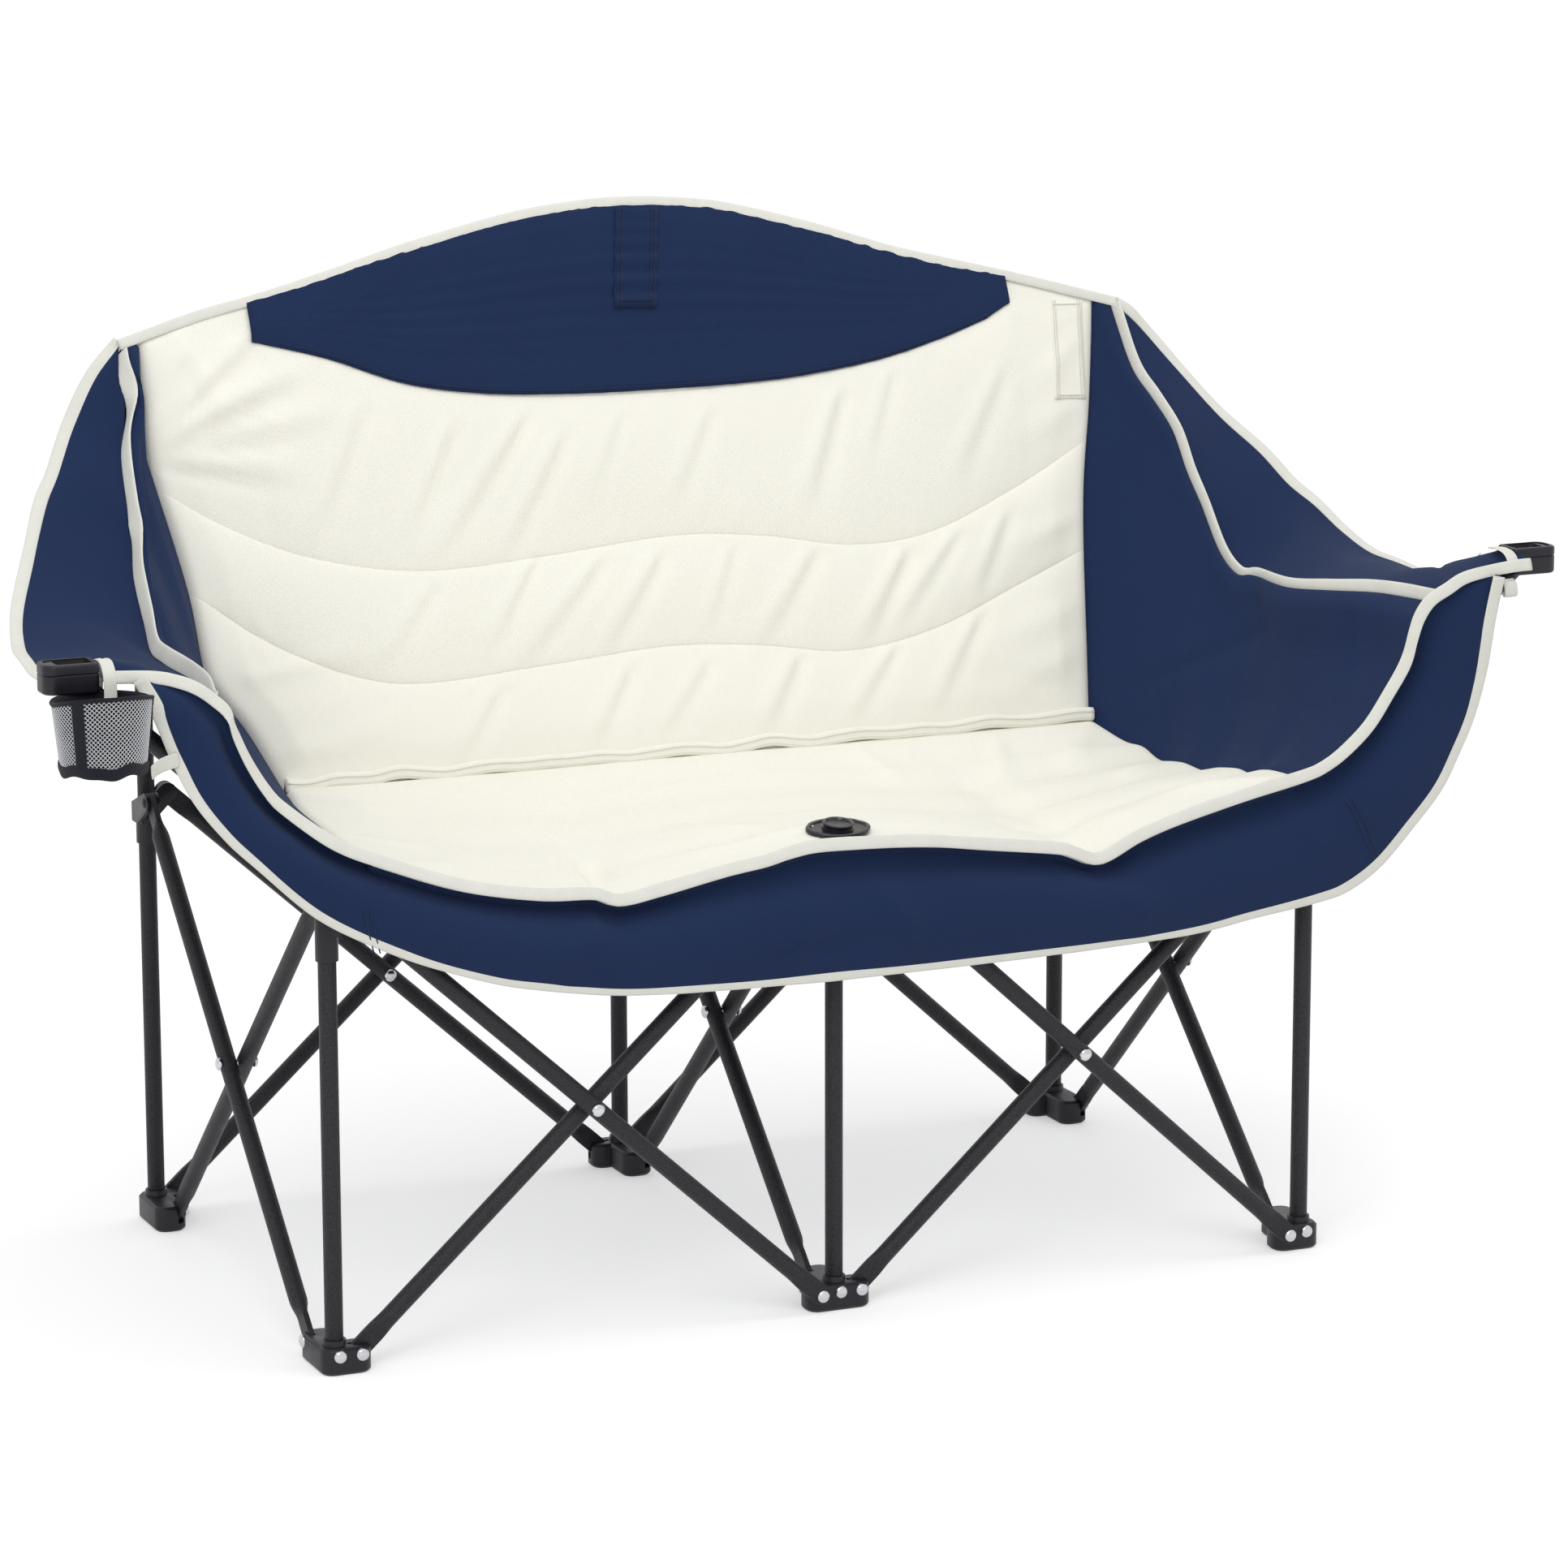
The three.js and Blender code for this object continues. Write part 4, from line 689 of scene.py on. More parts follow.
addFolds(lift, seatBase, (0, 1), (
    ((0, 5), (-120, 130), 14, 4), ((0, 5), (110, 130), 14, 4), ((0, 5), (-190, 40), 12, 4),
    ((0, 5), (190, 40), 12, 4), ((-236, -30), (-180, 120), 13, -5), ((236, -30), (190, 120), 13, -5),
    ((-440, -20), (-300, 70), 14, 4), ((440, -20), (310, 60), 14, 4), ((-410, 290), (-330, 190), 14, 4),
    ((405, 295), (320, 200), 14, 4), ((430, 200), (350, 140), 11, 4), ((-200, 298), (-170, 180), 12, 3),
    ((150, 298), (170, 190), 12, 3), ((300, 298), (250, 170), 11, 3), ((-430, 120), (-330, 100), 11, 3.5)))
lift += cloudHeight(seatBase, *seat["cloud"])
lift = lift * fromEdges(u, v, *seat["edges"])
seatUp = faced(seatBase, (0, 0, 1))
if seatUp is not seatBase:
    lift = lift[:, ::-1]
seatCushion = shell("seatCushion", seatUp + normals(seatUp) * lift[..., None], seat["thickness"],
                    [creamCloth, navyCloth], seat["roundEdge"])
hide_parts("seat_pad")
crumple(seatCushion, "across")

# Cream strip sewn over the seam between seat and back
strip = {"reach": 404, "y": 301, "z": 451.5, "scale": 0.022, "rippleY": 1.2, "rippleZ": 4.5, "width": 13, "thick": 9,
         "upright": (0, 0.3, 0.95), "stitchOut": -4.6, "stitchUp": (-2.8, 3.2)}
stripX = np.linspace(-strip["reach"], strip["reach"], 220)
ripple = np.array([noise.noise(Vector((a * strip["scale"], 4, 1))) for a in stripX])
stripPath = np.stack([stripX, strip["y"] + strip["rippleY"] * ripple, strip["z"] + strip["rippleZ"] * ripple], 1)
crumple(tape("seamStrip", stripPath, strip["upright"], strip["width"], strip["thick"], cloth=creamCloth), "back")
for number, height in enumerate(strip["stitchUp"]):
    stitches(f"seamStitch_{number}", stripPath + np.array([0, strip["stitchOut"], height]), "back", "cream_fabric",
             1.0, 0.8, strip["upright"])
print("stage: seat")

# Side panels, arm wings and front band. upright points across the tape on the arm's ridge.
sides = {
    "right": {"sign": 1, "inner": innerRight, "outer": outerRight, "front": frontRight, "seat": seatSideRight,
              "back": backSeamRight, "corner": (449, -33, 452), "upright": (0.15, 0, 0.95), "tape": 12.5},
    "left": {"sign": -1, "inner": innerLeft, "outer": outerLeft, "front": frontLeft[::-1], "seat": seatSideLeft,
             "back": backSeamLeft, "corner": (-440, -33, 456), "upright": (0.35, 0, 0.95), "tape": 16.5},
}
panelForm = {"long": 90, "high": 44, "out": 1.5, "bulge": 9, "cloud": (0.012, 4), "fade": 0.6, "thickness": 3,
             "underTape": 0.38, "forward": 1, "tuckUnder": (-9, 2, -12), "tuckBehind": (-9, 17, -5)}
wingForm = {"long": 120, "rows": 22, "crown": 3, "endRise": 15, "riseAt": 0.7, "riseRun": 0.13, "endDrop": 4,
            "dropAt": 0.85, "dropRun": 0.15, "cloud": (0.012, 5), "forward": 2, "thickness": 3}
for side, parts in sides.items():
    sign = parts["sign"]
    ridge = smooth(parts["inner"], panelForm["long"])
    run = np.gradient(ridge, axis=0)
    run /= np.linalg.norm(run, axis=1, keepdims=True)
    upright = np.tile(parts["upright"], (panelForm["long"], 1))
    upright -= run * (upright * run).sum(1, keepdims=True)
    upright /= np.linalg.norm(upright, axis=1, keepdims=True)
    inner = ridge - panelForm["underTape"] * parts["tape"] * upright
    frontPart = np.array(parts["front"], float)
    armEnd = inner[-1]
    frontUp = [p for p in frontPart if abs(p[0]) > abs(parts["corner"][0]) + 5 and p[2] < armEnd[2] - 4]
    frontUp = np.array([parts["corner"], *sorted(frontUp, key=lambda p: p[2]), armEnd])
    frontUp[:, 1] += panelForm["forward"]
    grid = coons(smooth(parts["seat"], panelForm["long"]), inner,
                 smooth([*parts["back"], inner[0]], panelForm["high"]), smooth(frontUp, panelForm["high"]))
    grid[..., 0] += sign * panelForm["out"]
    u, v = shares(panelForm["long"], panelForm["high"])
    fade = arch(u, panelForm["fade"]) * arch(v, panelForm["fade"])
    grid[..., 0] += sign * fade * (panelForm["bulge"] + cloudHeight(grid, *panelForm["cloud"]))
    addFolds(grid[..., 0], grid, (1, 2), (
        ((300, 470), (150, 560), 10, 4), ((240, 600), (120, 500), 9, 3.5), ((60, 590), (10, 500), 8, 3),
        ((390, 700), (330, 600), 9, 3)), sign * fade)
    mirror = np.array([sign, 1, 1])
    grid = np.concatenate([grid[:1] + mirror * panelForm["tuckUnder"], grid])
    grid = np.concatenate([grid[:, :1] + mirror * panelForm["tuckBehind"], grid], axis=1)
    panel = fabricSheet(f"sidePanel_{side}", grid, (-sign, 0, 0.2), panelForm["thickness"], f"side_panel_{side}",
                        f"side_{side}")
    frontTop = np.array([p for p in frontPart if p[2] >= armEnd[2] - 2 and abs(p[0]) > abs(armEnd[0])])
    frontTop = np.array(sorted(frontTop, key=lambda p: abs(p[0])))
    frontTop[:, 1] += wingForm["forward"]
    innerAll = smooth(np.vstack([inner[:-1:6], armEnd[None], frontTop]), wingForm["long"])
    outerAll = smooth(parts["outer"], wingForm["long"])
    wing = ruled(innerAll, outerAll, wingForm["rows"])
    u, v = shares(wingForm["long"], wingForm["rows"])
    rise = wingForm["endRise"] * np.clip((u - wingForm["riseAt"]) / wingForm["riseRun"], 0, 1)
    drop = wingForm["endDrop"] * np.clip((u - wingForm["dropAt"]) / wingForm["dropRun"], 0, 1)
    wing[..., 2] += arch(v) * (wingForm["crown"] + rise - drop)
    wing[..., 2] += cloudHeight(wing, *wingForm["cloud"]) * arch(v)
    fabricSheet(f"armWing_{side}", wing, (0, -0.3, 1), wingForm["thickness"], f"wing_{side}",
                f"wing_{side}")
    parts["ridge"], parts["wingInner"], parts["wingOuter"] = ridge, innerAll, outerAll

band = {"long": 260, "rows": 40, "reach": 642, "bulge": 13, "bulgeTop": 0.8, "front": -40, "recess": 15,
        "recessAt": 0.86, "recessWidth": 0.13, "recessEnds": 3, "lean": 8, "cloud": (0.009, 5), "thickness": 3,
        "stitchOut": 0.3}
bandTop = evenly(frontLine[np.abs(frontLine[:, 0]) < band["reach"]], band["long"])
u, v = shares(band["long"], band["rows"])
bandGrid = ruled(hem, bandTop, band["rows"])
underEdge = band["recess"] * np.exp(-((v - band["recessAt"]) / band["recessWidth"]) ** 2)
underEdge = underEdge * np.clip(arch(u) * band["recessEnds"], 0, 1)
bandGrid[..., 1] = (band["front"] - band["lean"] * (1 - v) + underEdge
                    - band["bulge"] * arch(np.clip(v / band["bulgeTop"], 0, 1)) * arch(u, 0.5))
bandGrid[..., 1] -= cloudHeight(bandGrid, *band["cloud"]) * arch(v)
addFolds(bandGrid[..., 1], bandGrid, (0, 2), (
    ((60, 330), (10, 420), 12, 4), ((-60, 330), (-20, 410), 10, 3), ((236, 390), (300, 330), 12, 5),
    ((-236, 390), (-290, 340), 12, 5), ((-100, 340), (100, 352), 9, -3), ((430, 440), (470, 370), 9, 3)), -1)
fabricSheet("frontBand", bandGrid, (0, -1, 0), band["thickness"], "front_band", "across")
for number, points in enumerate((((480, 440), (516, 367)), ((485, 443), (521, 370)), ((-455, 418), (-443, 372)),
                                 ((-450, 419), (-438, 373)))):
    line = evenly(np.array(atDepth(0, points), float), 60)
    flat = bandGrid.reshape(-1, 3)
    for point in line:
        point[1] = flat[((flat[:, [0, 2]] - point[[0, 2]]) ** 2).sum(1).argmin(), 1]
    line = smooth(line[::6], 90)
    line[:, 1] -= band["stitchOut"]
    stitches(f"bandStitch_{number}", line, "across", "navy_fabric", 1.2, 1.0)
print("stage: side panels, wings and band")

# Binding tapes: path, direction across, width, thickness, shift across, and the body they ride
borderPath = smooth([(-502, 463, 838), *topBorder[1:]], 300) - np.array([0, 3, 0])
seatPath = evenly(frontLine[(frontLine[:, 0] > -668) & (frontLine[:, 0] < 681)], 420) + np.array([0, -6, 1])
hemPath = evenly(hem, 420)
hemPath[:, 1] = band["front"] - band["lean"]
along = np.gradient(hemPath, axis=0)
hemInward = np.stack([-along[:, 2], np.zeros(420), along[:, 0]], 1)
bindings = [("topBinding", borderPath, (0, -0.37, -0.93), 10, 2.6, 3.6, "back"),
            ("frontBinding", seatPath, (0, -0.35, -0.93), 11.5, 2.6, 0, "across"),
            ("hemBinding", hemPath, hemInward, 13, 2.6, 2.6, "across")]
for side, parts in sides.items():
    outerPath = evenly(parts["wingOuter"], 260)
    inward = evenly(parts["wingInner"], 260) - outerPath
    bindings.append((f"wingBinding_{side}", outerPath, inward, 12, 2.6, -2.4, f"wing_{side}"))
    bindings.append((f"armBinding_{side}", evenly(parts["ridge"], 220), parts["upright"], parts["tape"], 3, 0.4,
                     f"wing_{side}"))
for name, path, wide, width, thick, toward, kind in bindings:
    crumple(tape(name, path, wide, width, thick, toward), kind)
print("stage: bindings")


# Rigid pieces, modelled with the edit tools. Each ends with its place in its mesh.
def startPiece(name, tool, **settings):
    bpy.ops.object.select_all(action="DESELECT")
    tool(**settings)
    made = bpy.context.object
    made.name = name
    made.data.name = name
    return made


def editOn(made):
    bpy.ops.object.select_all(action="DESELECT")
    bpy.context.view_layer.objects.active = made
    made.select_set(True)
    bpy.ops.object.mode_set(mode="EDIT")


def editOff():
    bpy.ops.object.mode_set(mode="OBJECT")


# Selects what passes the test, which is given a place in millimetres and a direction.
def choose(kind, test):
    mesh = bmesh.from_edit_mesh(bpy.context.object.data)
    bpy.context.tool_settings.mesh_select_mode = (kind == "verts", kind == "edges", kind == "faces")
    bpy.ops.mesh.select_all(action="DESELECT")
    for part in getattr(mesh, kind):
        if kind == "verts":
            part.select_set(bool(test(part.co * 1000, part.normal)))
        elif kind == "edges":
            first, second = (v.co for v in part.verts)
            part.select_set(bool(test((first + second) * 500, (second - first).normalized())))
        else:
            part.select_set(bool(test(part.calc_center_median() * 1000, part.normal)))
    mesh.select_flush_mode()
    bmesh.update_edit_mesh(bpy.context.object.data)


def chooseAll():
    bpy.ops.mesh.select_all(action="SELECT")


def cutLevel(z):
    chooseAll()
    bpy.ops.mesh.bisect(plane_co=(0, 0, z / 1000), plane_no=(0, 0, 1))


def stretch(x, y, z, centre=(0, 0, 0)):
    bpy.ops.transform.resize(value=(x, y, z), center_override=[v / 1000 for v in centre])


def shift(x, y, z):
    bpy.ops.transform.translate(value=(x / 1000, y / 1000, z / 1000))


def pushOut(x, y, z):
    bpy.ops.mesh.extrude_region_move(TRANSFORM_OT_translate={"value": (x / 1000, y / 1000, z / 1000)})


def insetBy(width):
    bpy.ops.mesh.inset(thickness=width / 1000)


def roundEdges(test, width, segments):
    choose("edges", test)
    bpy.ops.mesh.bevel(offset=width / 1000, segments=segments, affect="EDGES")


def divideEdges(test, cuts):
    choose("edges", test)
    bpy.ops.mesh.subdivide(number_cuts=cuts)


def capHole():
    bpy.ops.mesh.edge_face_add()
    chooseAll()
    bpy.ops.mesh.normals_make_consistent(inside=False)


def applyPlace():
    bpy.ops.object.transform_apply(location=True, rotation=True, scale=True)


def applyModifier(made, kind, **settings):
    bpy.context.view_layer.objects.active = made
    modifier = made.modifiers.new(kind.lower(), kind)
    for key, value in settings.items():
        setattr(modifier, key, value)
    bpy.ops.object.modifier_apply(modifier=modifier.name)


def finishPiece(made, material, body, replaced=(), angle=38):
    bpy.ops.object.select_all(action="DESELECT")
    bpy.context.view_layer.objects.active = made
    made.select_set(True)
    applyPlace()
    bpy.ops.object.shade_smooth_by_angle(angle=math.radians(angle))
    made.data.materials.clear()
    made.data.materials.append(material)
    if replaced:
        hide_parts(*replaced)
    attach(made, body)
    return made


def copyOf(source, name, place):
    made = bpy.data.objects.new(name, source.data.copy())
    bpy.context.scene.collection.objects.link(made)
    made.matrix_world = Matrix.Translation((0, lineY, 0)) @ place
    return made


def placeAt(x, y, z):
    return Matrix.Translation((x / 1000, y / 1000, z / 1000))


# Round tubes with pressed ends
tubeShape = {"radius": frameSizes["tubeRadius"], "turns": 24, "tabHalfWidth": 9, "tabHalfThickness": 2.5,
             "tabLength": 20, "flare": 20, "roundings": (1.45, 1.15, 0.8, 0.4, 0.0),
             "flareSteps": (0, 0.25, 0.5, 0.75, 1), "flat": 0.0001}
tipReach = tubeShape["tabHalfWidth"] * math.sin(tubeShape["roundings"][0])


def pressEnd(pivot, direction):
    half, flat = tubeShape["tabHalfWidth"], tubeShape["tabHalfThickness"]
    steps = [(pivot + direction * half * math.sin(t), half * math.cos(t), 0) for t in tubeShape["roundings"]]
    for share in tubeShape["flareSteps"]:
        ease = share * share * (3 - 2 * share)
        z = pivot - direction * (tubeShape["tabLength"] + tubeShape["flare"] * share)
        steps.append((z, half - (half - tubeShape["radius"]) * ease, ease))
    for z, width, ease in steps[1:]:
        cutLevel(z)
    for z, width, ease in steps:
        for side in (1, -1):
            choose("verts", lambda p, n: abs(p.z - z) < 0.1 and side * p.y > 0.5)
            stretch(1, max(ease, tubeShape["flat"]), 1, (0, side * flat, 0))
        choose("verts", lambda p, n: abs(p.z - z) < 0.1)
        stretch(width / tubeShape["radius"], 1, 1)


def pressedTube(name, length):
    top = length if length else tubeSpan + tipReach
    made = startPiece(name, bpy.ops.mesh.primitive_cylinder_add, vertices=tubeShape["turns"],
                      radius=tubeShape["radius"] / 1000, depth=(top + tipReach) / 1000,
                      location=(0, 0, (top - tipReach) / 2000))
    applyPlace()
    editOn(made)
    pressEnd(0, -1)
    if not length:
        pressEnd(tubeSpan, 1)
    editOff()
    return made


crossTube = pressedTube("crossTube", 0)
armLength = (frameSizes["armReach"] + frameSizes["capGrip"] - frameSizes["pivotInsetX"]) / math.sin(openAngle)
armTube = pressedTube("armTube", armLength)


def frameTube(node, x, y, lean, across=True, turned=False, source=crossTube):
    if across:
        spin = Matrix.Rotation(lean * openAngle, 4, "Y")
    else:
        spin = Matrix.Rotation(-lean * openAngle, 4, "X") @ Matrix.Rotation(-math.pi / 2, 4, "Z")
    whole = placeAt(x, y, pivotHeight) @ spin
    made = copyOf(source, "frame_" + node, rearTurn @ whole if turned else whole)
    return finishPiece(made, framePaint, nodes[node]["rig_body"], [node])


near, mid, sideLayer = frameSizes["nearLayer"], frameSizes["midLayer"], frameSizes["sideLayer"]
inset, insetY, pivotHeight = frameSizes["pivotInsetX"], frameSizes["pivotInsetY"], frameSizes["pivotHeight"]
far = postSpacing - inset
rearTurn = placeAt(0, postDepth, 0) @ Matrix.Rotation(math.pi, 4, "Z")
frameTube("arm_tube_left", -inset, near, -1, source=armTube)
frameTube("arm_tube_right", inset, mid, 1, source=armTube)
frameTube("front_tube_outer_left", -far, mid, 1)
frameTube("front_tube_outer_right", far, near, -1)
for node, x0, layer, lean in (("inner_right", -inset, near, -1), ("outer_right", -far, mid, 1),
                              ("inner_left", inset, mid, 1), ("outer_left", far, near, -1)):
    frameTube("rear_tube_" + node, x0, layer, lean, turned=True)
columns = {"left": -postSpacing, "middle": 0, "right": postSpacing}
for column, x0 in columns.items():
    frameTube(f"side_tube_rearward_{column}", x0 - sideLayer, insetY, 1, False)
    frameTube(f"side_tube_forward_{column}", x0 + sideLayer, postDepth - insetY, -1, False)
for source in (crossTube, armTube):
    bpy.data.objects.remove(source)


# Upright posts, the rods that slide in the front ones, and the caps on the rear ones
def roundBar(node, x, y, radius, edge, material):
    bottom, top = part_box(node)
    made = startPiece("bar_" + node, bpy.ops.mesh.primitive_cylinder_add, vertices=36, radius=radius / 1000,
                      depth=top.z - bottom.z, location=(x / 1000, y / 1000 + lineY, (top.z + bottom.z) / 2))
    applyPlace()
    editOn(made)
    ends = top.z * 1000, bottom.z * 1000
    roundEdges(lambda p, d: abs(d.z) < 0.1 and min(abs(p.z - end) for end in ends) < 0.1, edge, 3)
    editOff()
    return finishPiece(made, material, nodes[node]["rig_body"], [node])


for row, y0 in (("front", 0), ("rear", postDepth)):
    for column, x0 in columns.items():
        roundBar(f"post_{row}_{column}", x0, y0, frameSizes["tubeRadius"], 0.7, framePaint)
        if row == "front":
            roundBar(f"slide_rod_{row}_{column}", x0, y0, 6, 0.6, brightSteel)
        else:
            roundBar(f"post_cap_{row}_{column}", x0, y0, 9.6, 1.6, blackPlastic)
print("stage: tubes and posts")


# Feet and hubs: the CAD mouldings with their edges softened
def moulded(node, edge):
    made = bpy.data.objects.new("moulded_" + node, nodes[node].data.copy())
    bpy.context.scene.collection.objects.link(made)
    editOn(made)
    chooseAll()
    bpy.ops.mesh.remove_doubles(threshold=0.00003)
    bpy.ops.mesh.dissolve_limited(angle_limit=math.radians(1))
    editOff()
    applyModifier(made, "BEVEL", width=edge / 1000, segments=2, limit_method="ANGLE", angle_limit=math.radians(32),
                  use_clamp_overlap=True)
    return finishPiece(made, blackPlastic, nodes[node]["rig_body"], [node])


for row in ("front", "rear"):
    for column in columns:
        moulded(f"foot_{row}_{column}", 1.3)
        moulded(f"hub_{row}_{column}", 0.9)

# Domed rivet heads, on the outer side of the ears or of the tube that lies over them
rivetShape = {"radius": 5.9, "rise": 3.3, "seat": 0.7, "shank": 3, "length": 32.8, "headAt": 16.45, "ear": 16.4,
              "sideEar": 14.7, "clear": 0.3, "midEar": 3.1}
head = startPiece("rivetHead", bpy.ops.mesh.primitive_uv_sphere_add, segments=28, ring_count=14,
                  radius=rivetShape["radius"] / 1000)
editOn(head)
choose("faces", lambda p, n: p.z < 0)
bpy.ops.mesh.delete(type="FACE")
chooseAll()
stretch(1, 1, rivetShape["rise"] / rivetShape["radius"])
choose("edges", lambda p, d: abs(p.z) < 0.01)
pushOut(0, 0, -rivetShape["seat"])
capHole()
editOff()
shank = startPiece("shank", bpy.ops.mesh.primitive_cylinder_add, vertices=20, radius=rivetShape["shank"] / 1000,
                   depth=rivetShape["length"] / 1000)
headAt = Matrix.Translation((0, -lineY, 0))
rivetParts = [shank, copyOf(head, "upper", headAt @ placeAt(0, 0, rivetShape["headAt"])),
              copyOf(head, "lower", headAt @ placeAt(0, 0, -rivetShape["headAt"]) @ Matrix.Rotation(math.pi, 4, "X"))]
for part in rivetParts:
    part.select_set(True)
bpy.context.view_layer.objects.active = shank
applyPlace()
bpy.ops.object.join()
crossRivet = bpy.context.object

forward = Matrix.Rotation(math.pi / 2, 4, "X")
leftward = Matrix.Rotation(-math.pi / 2, 4, "Y")
rightward = Matrix.Rotation(math.pi / 2, 4, "Y")
half = tubeShape["tabHalfThickness"] + rivetShape["clear"]
earFront = -rivetShape["ear"]
footEars = {-1: [(1, mid)], 0: [(-1, near), (1, mid)], 1: [(-1, near)]}
hubEars = {-1: [(1, near)], 0: [(-1, mid), (1, near)], 1: [(-1, mid)]}
for row in ("front", "rear"):
    for step, ears in footEars.items():
        name = {-1: "left", 0: "middle", 1: "right"}[step if row == "front" else -step]
        room = tubeShape["radius"] + rivetShape["clear"] if row == "front" and step else half
        heads = [("leg", (0, earFront, pivotHeight), forward),
                 ("leg", (-rivetShape["sideEar"], insetY, pivotHeight), leftward)]
        for side, layer in ears:
            heads.append(("leg", (side * inset, near - half if layer == near else earFront, pivotHeight), forward))
        for side, layer in hubEars[step]:
            y = near - room if layer == near else mid - room - rivetShape["midEar"]
            heads.append(("hub", (side * inset, y, hubHeight), forward))
        for number, (body, place, facing) in enumerate(heads):
            at = placeAt(step * postSpacing + place[0], place[1], place[2]) @ facing
            made = copyOf(head, f"rivetHead_{row}_{name}_{number}", at if row == "front" else rearTurn @ at)
            finishPiece(made, brightSteel, f"{body}_{row}_{name}")

crossHeight = pivotHeight + frameSizes["openRise"] / 2
between = (near + mid) / 2
crossings = [(f"rivet_{row}_{side}", x0, y0, forward)
             for row, y0 in (("front", between), ("rear", postDepth - between))
             for side, x0 in (("left", -postSpacing / 2), ("right", postSpacing / 2))]
crossings += [(f"rivet_side_{column}", x0, postDepth / 2, rightward) for column, x0 in columns.items()]
for node, x0, y0, facing in crossings:
    made = copyOf(crossRivet, "steel_" + node, placeAt(x0, y0, crossHeight) @ facing)
    finishPiece(made, brightSteel, nodes[node]["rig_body"], [node])
for source in (head, crossRivet):
    bpy.data.objects.remove(source)
print("stage: feet, hubs and rivets")

# Arm caps: hollow moulded ends with a rolled rim and a parting groove
armCap = {"length": 47, "depth": 33, "height": 25, "outerRound": 11, "innerRound": 5, "edge": 2.4, "rim": 2.0,
          "deck": 1.2, "deckStep": 0.5, "wellLength": 30, "wellDepth": 21, "wellEdge": 1.5, "wellSink": 7,
          "wellShift": -3.8, "wellTaper": (0.9, 0.86), "wellFoot": 2, "wellFootSink": 0.8, "lift": 628.56,
          "groove": (4.4, 3.5, 2.6), "grooveWaist": (0.97, 0.955)}
top = armCap["height"] / 2
cap = startPiece("armCap", bpy.ops.mesh.primitive_cube_add, size=1)
editOn(cap)
chooseAll()
stretch(armCap["length"] / 1000, armCap["depth"] / 1000, armCap["height"] / 1000)
roundEdges(lambda p, d: abs(d.z) > 0.9 and p.x > 0, armCap["outerRound"], 8)
roundEdges(lambda p, d: abs(d.z) > 0.9 and p.x < -20, armCap["innerRound"], 5)
for z in armCap["groove"]:
    cutLevel(z)
choose("verts", lambda p, n: abs(p.z - armCap["groove"][1]) < 0.1)
stretch(*armCap["grooveWaist"], 1)
roundEdges(lambda p, d: abs(d.z) < 0.1 and abs(abs(p.z) - top) < 0.1, armCap["edge"], 4)
choose("faces", lambda p, n: n.z > 0.99 and p.z > top - 0.1)
insetBy(armCap["rim"])
pushOut(0, 0, -armCap["deck"])
insetBy(armCap["deckStep"])
pushOut(0, 0, 0)
narrower = 2 * (armCap["edge"] + armCap["rim"] + armCap["deckStep"])
stretch(armCap["wellLength"] / (armCap["length"] - narrower), armCap["wellDepth"] / (armCap["depth"] - narrower), 1)
shift(armCap["wellShift"], 0, 0.5)
pushOut(0, 0, -armCap["wellEdge"])
pushOut(0, 0, -armCap["wellSink"] + armCap["wellEdge"])
stretch(*armCap["wellTaper"], 1, (armCap["wellShift"], 0, top - 8))
insetBy(armCap["wellFoot"])
shift(0, 0, -armCap["wellFootSink"])
editOff()
for side, sign, layer in (("left", -1, near), ("right", 1, mid)):
    spin = Matrix.Rotation(math.pi, 4, "Z") if sign < 0 else Matrix.Identity(4)
    place = placeAt(sign * (frameSizes["armReach"] + armCap["length"] / 2), layer, armCap["lift"]) @ spin
    made = copyOf(cap, f"armEnd_{side}", place)
    finishPiece(made, blackPlastic, f"arm_{side}", [f"arm_cap_{side}"])
bpy.data.objects.remove(cap)
print("stage: arm caps")

# Cup holder: a dark sheet in a light net, with black binding. The dark sheet is painted shade: it darkens what shows
# through the net. Shares run from its floor to its mouth.
cup = {"x": -681, "y": -68.1, "low": 555.7, "high": 615.7, "topRadius": 40, "taper": 6, "frontRise": 9,
       "floorRise": 4, "floorSink": 1, "floorShare": 0.9, "wall": 1.4}
cupNet = {"turns": 64, "rows": 15, "thread": 0.95, "out": 0.9, "low": 0.1, "high": 0.985}
cupTrim = {"strips": (("cupStrip", 225, 7.5), ("cupSeam", 343, 3.8)), "stripTurns": 96, "stripCuts": 14,
           "stripOut": 1.7, "stripWall": 0.9, "ribs": 4.1, "ribRise": 1.006, "hemTurns": 72, "hemCuts": 4,
           "hems": (("cupHem", -0.035, 0.12, 1.3), ("cupRim", 0.972, 1.01, 1.0)), "hemWall": 1.6, "puff": 0.022,
           "waves": ((0.0013, 5, 1.1), (0.0008, 9, 0))}
cupHeight = cup["high"] - cup["low"]


def standing(p, d):
    return abs(d.z) > 0.7


def cupWall(name, outward, turns, low=0.0, high=1.0):
    whole = cup["topRadius"] + outward - cup["taper"] * (1 - high)
    made = startPiece(name, bpy.ops.mesh.primitive_cylinder_add, vertices=turns, end_fill_type="NOTHING",
                      radius=whole / 1000, depth=cupHeight * (high - low) / 1000)
    editOn(made)
    choose("verts", lambda p, n: p.z < 0)
    narrow = (whole - cup["taper"] * (high - low)) / whole
    stretch(narrow, narrow, 1)
    chooseAll()
    shift(0, 0, cupHeight * (low + high - 1) / 2)
    return made


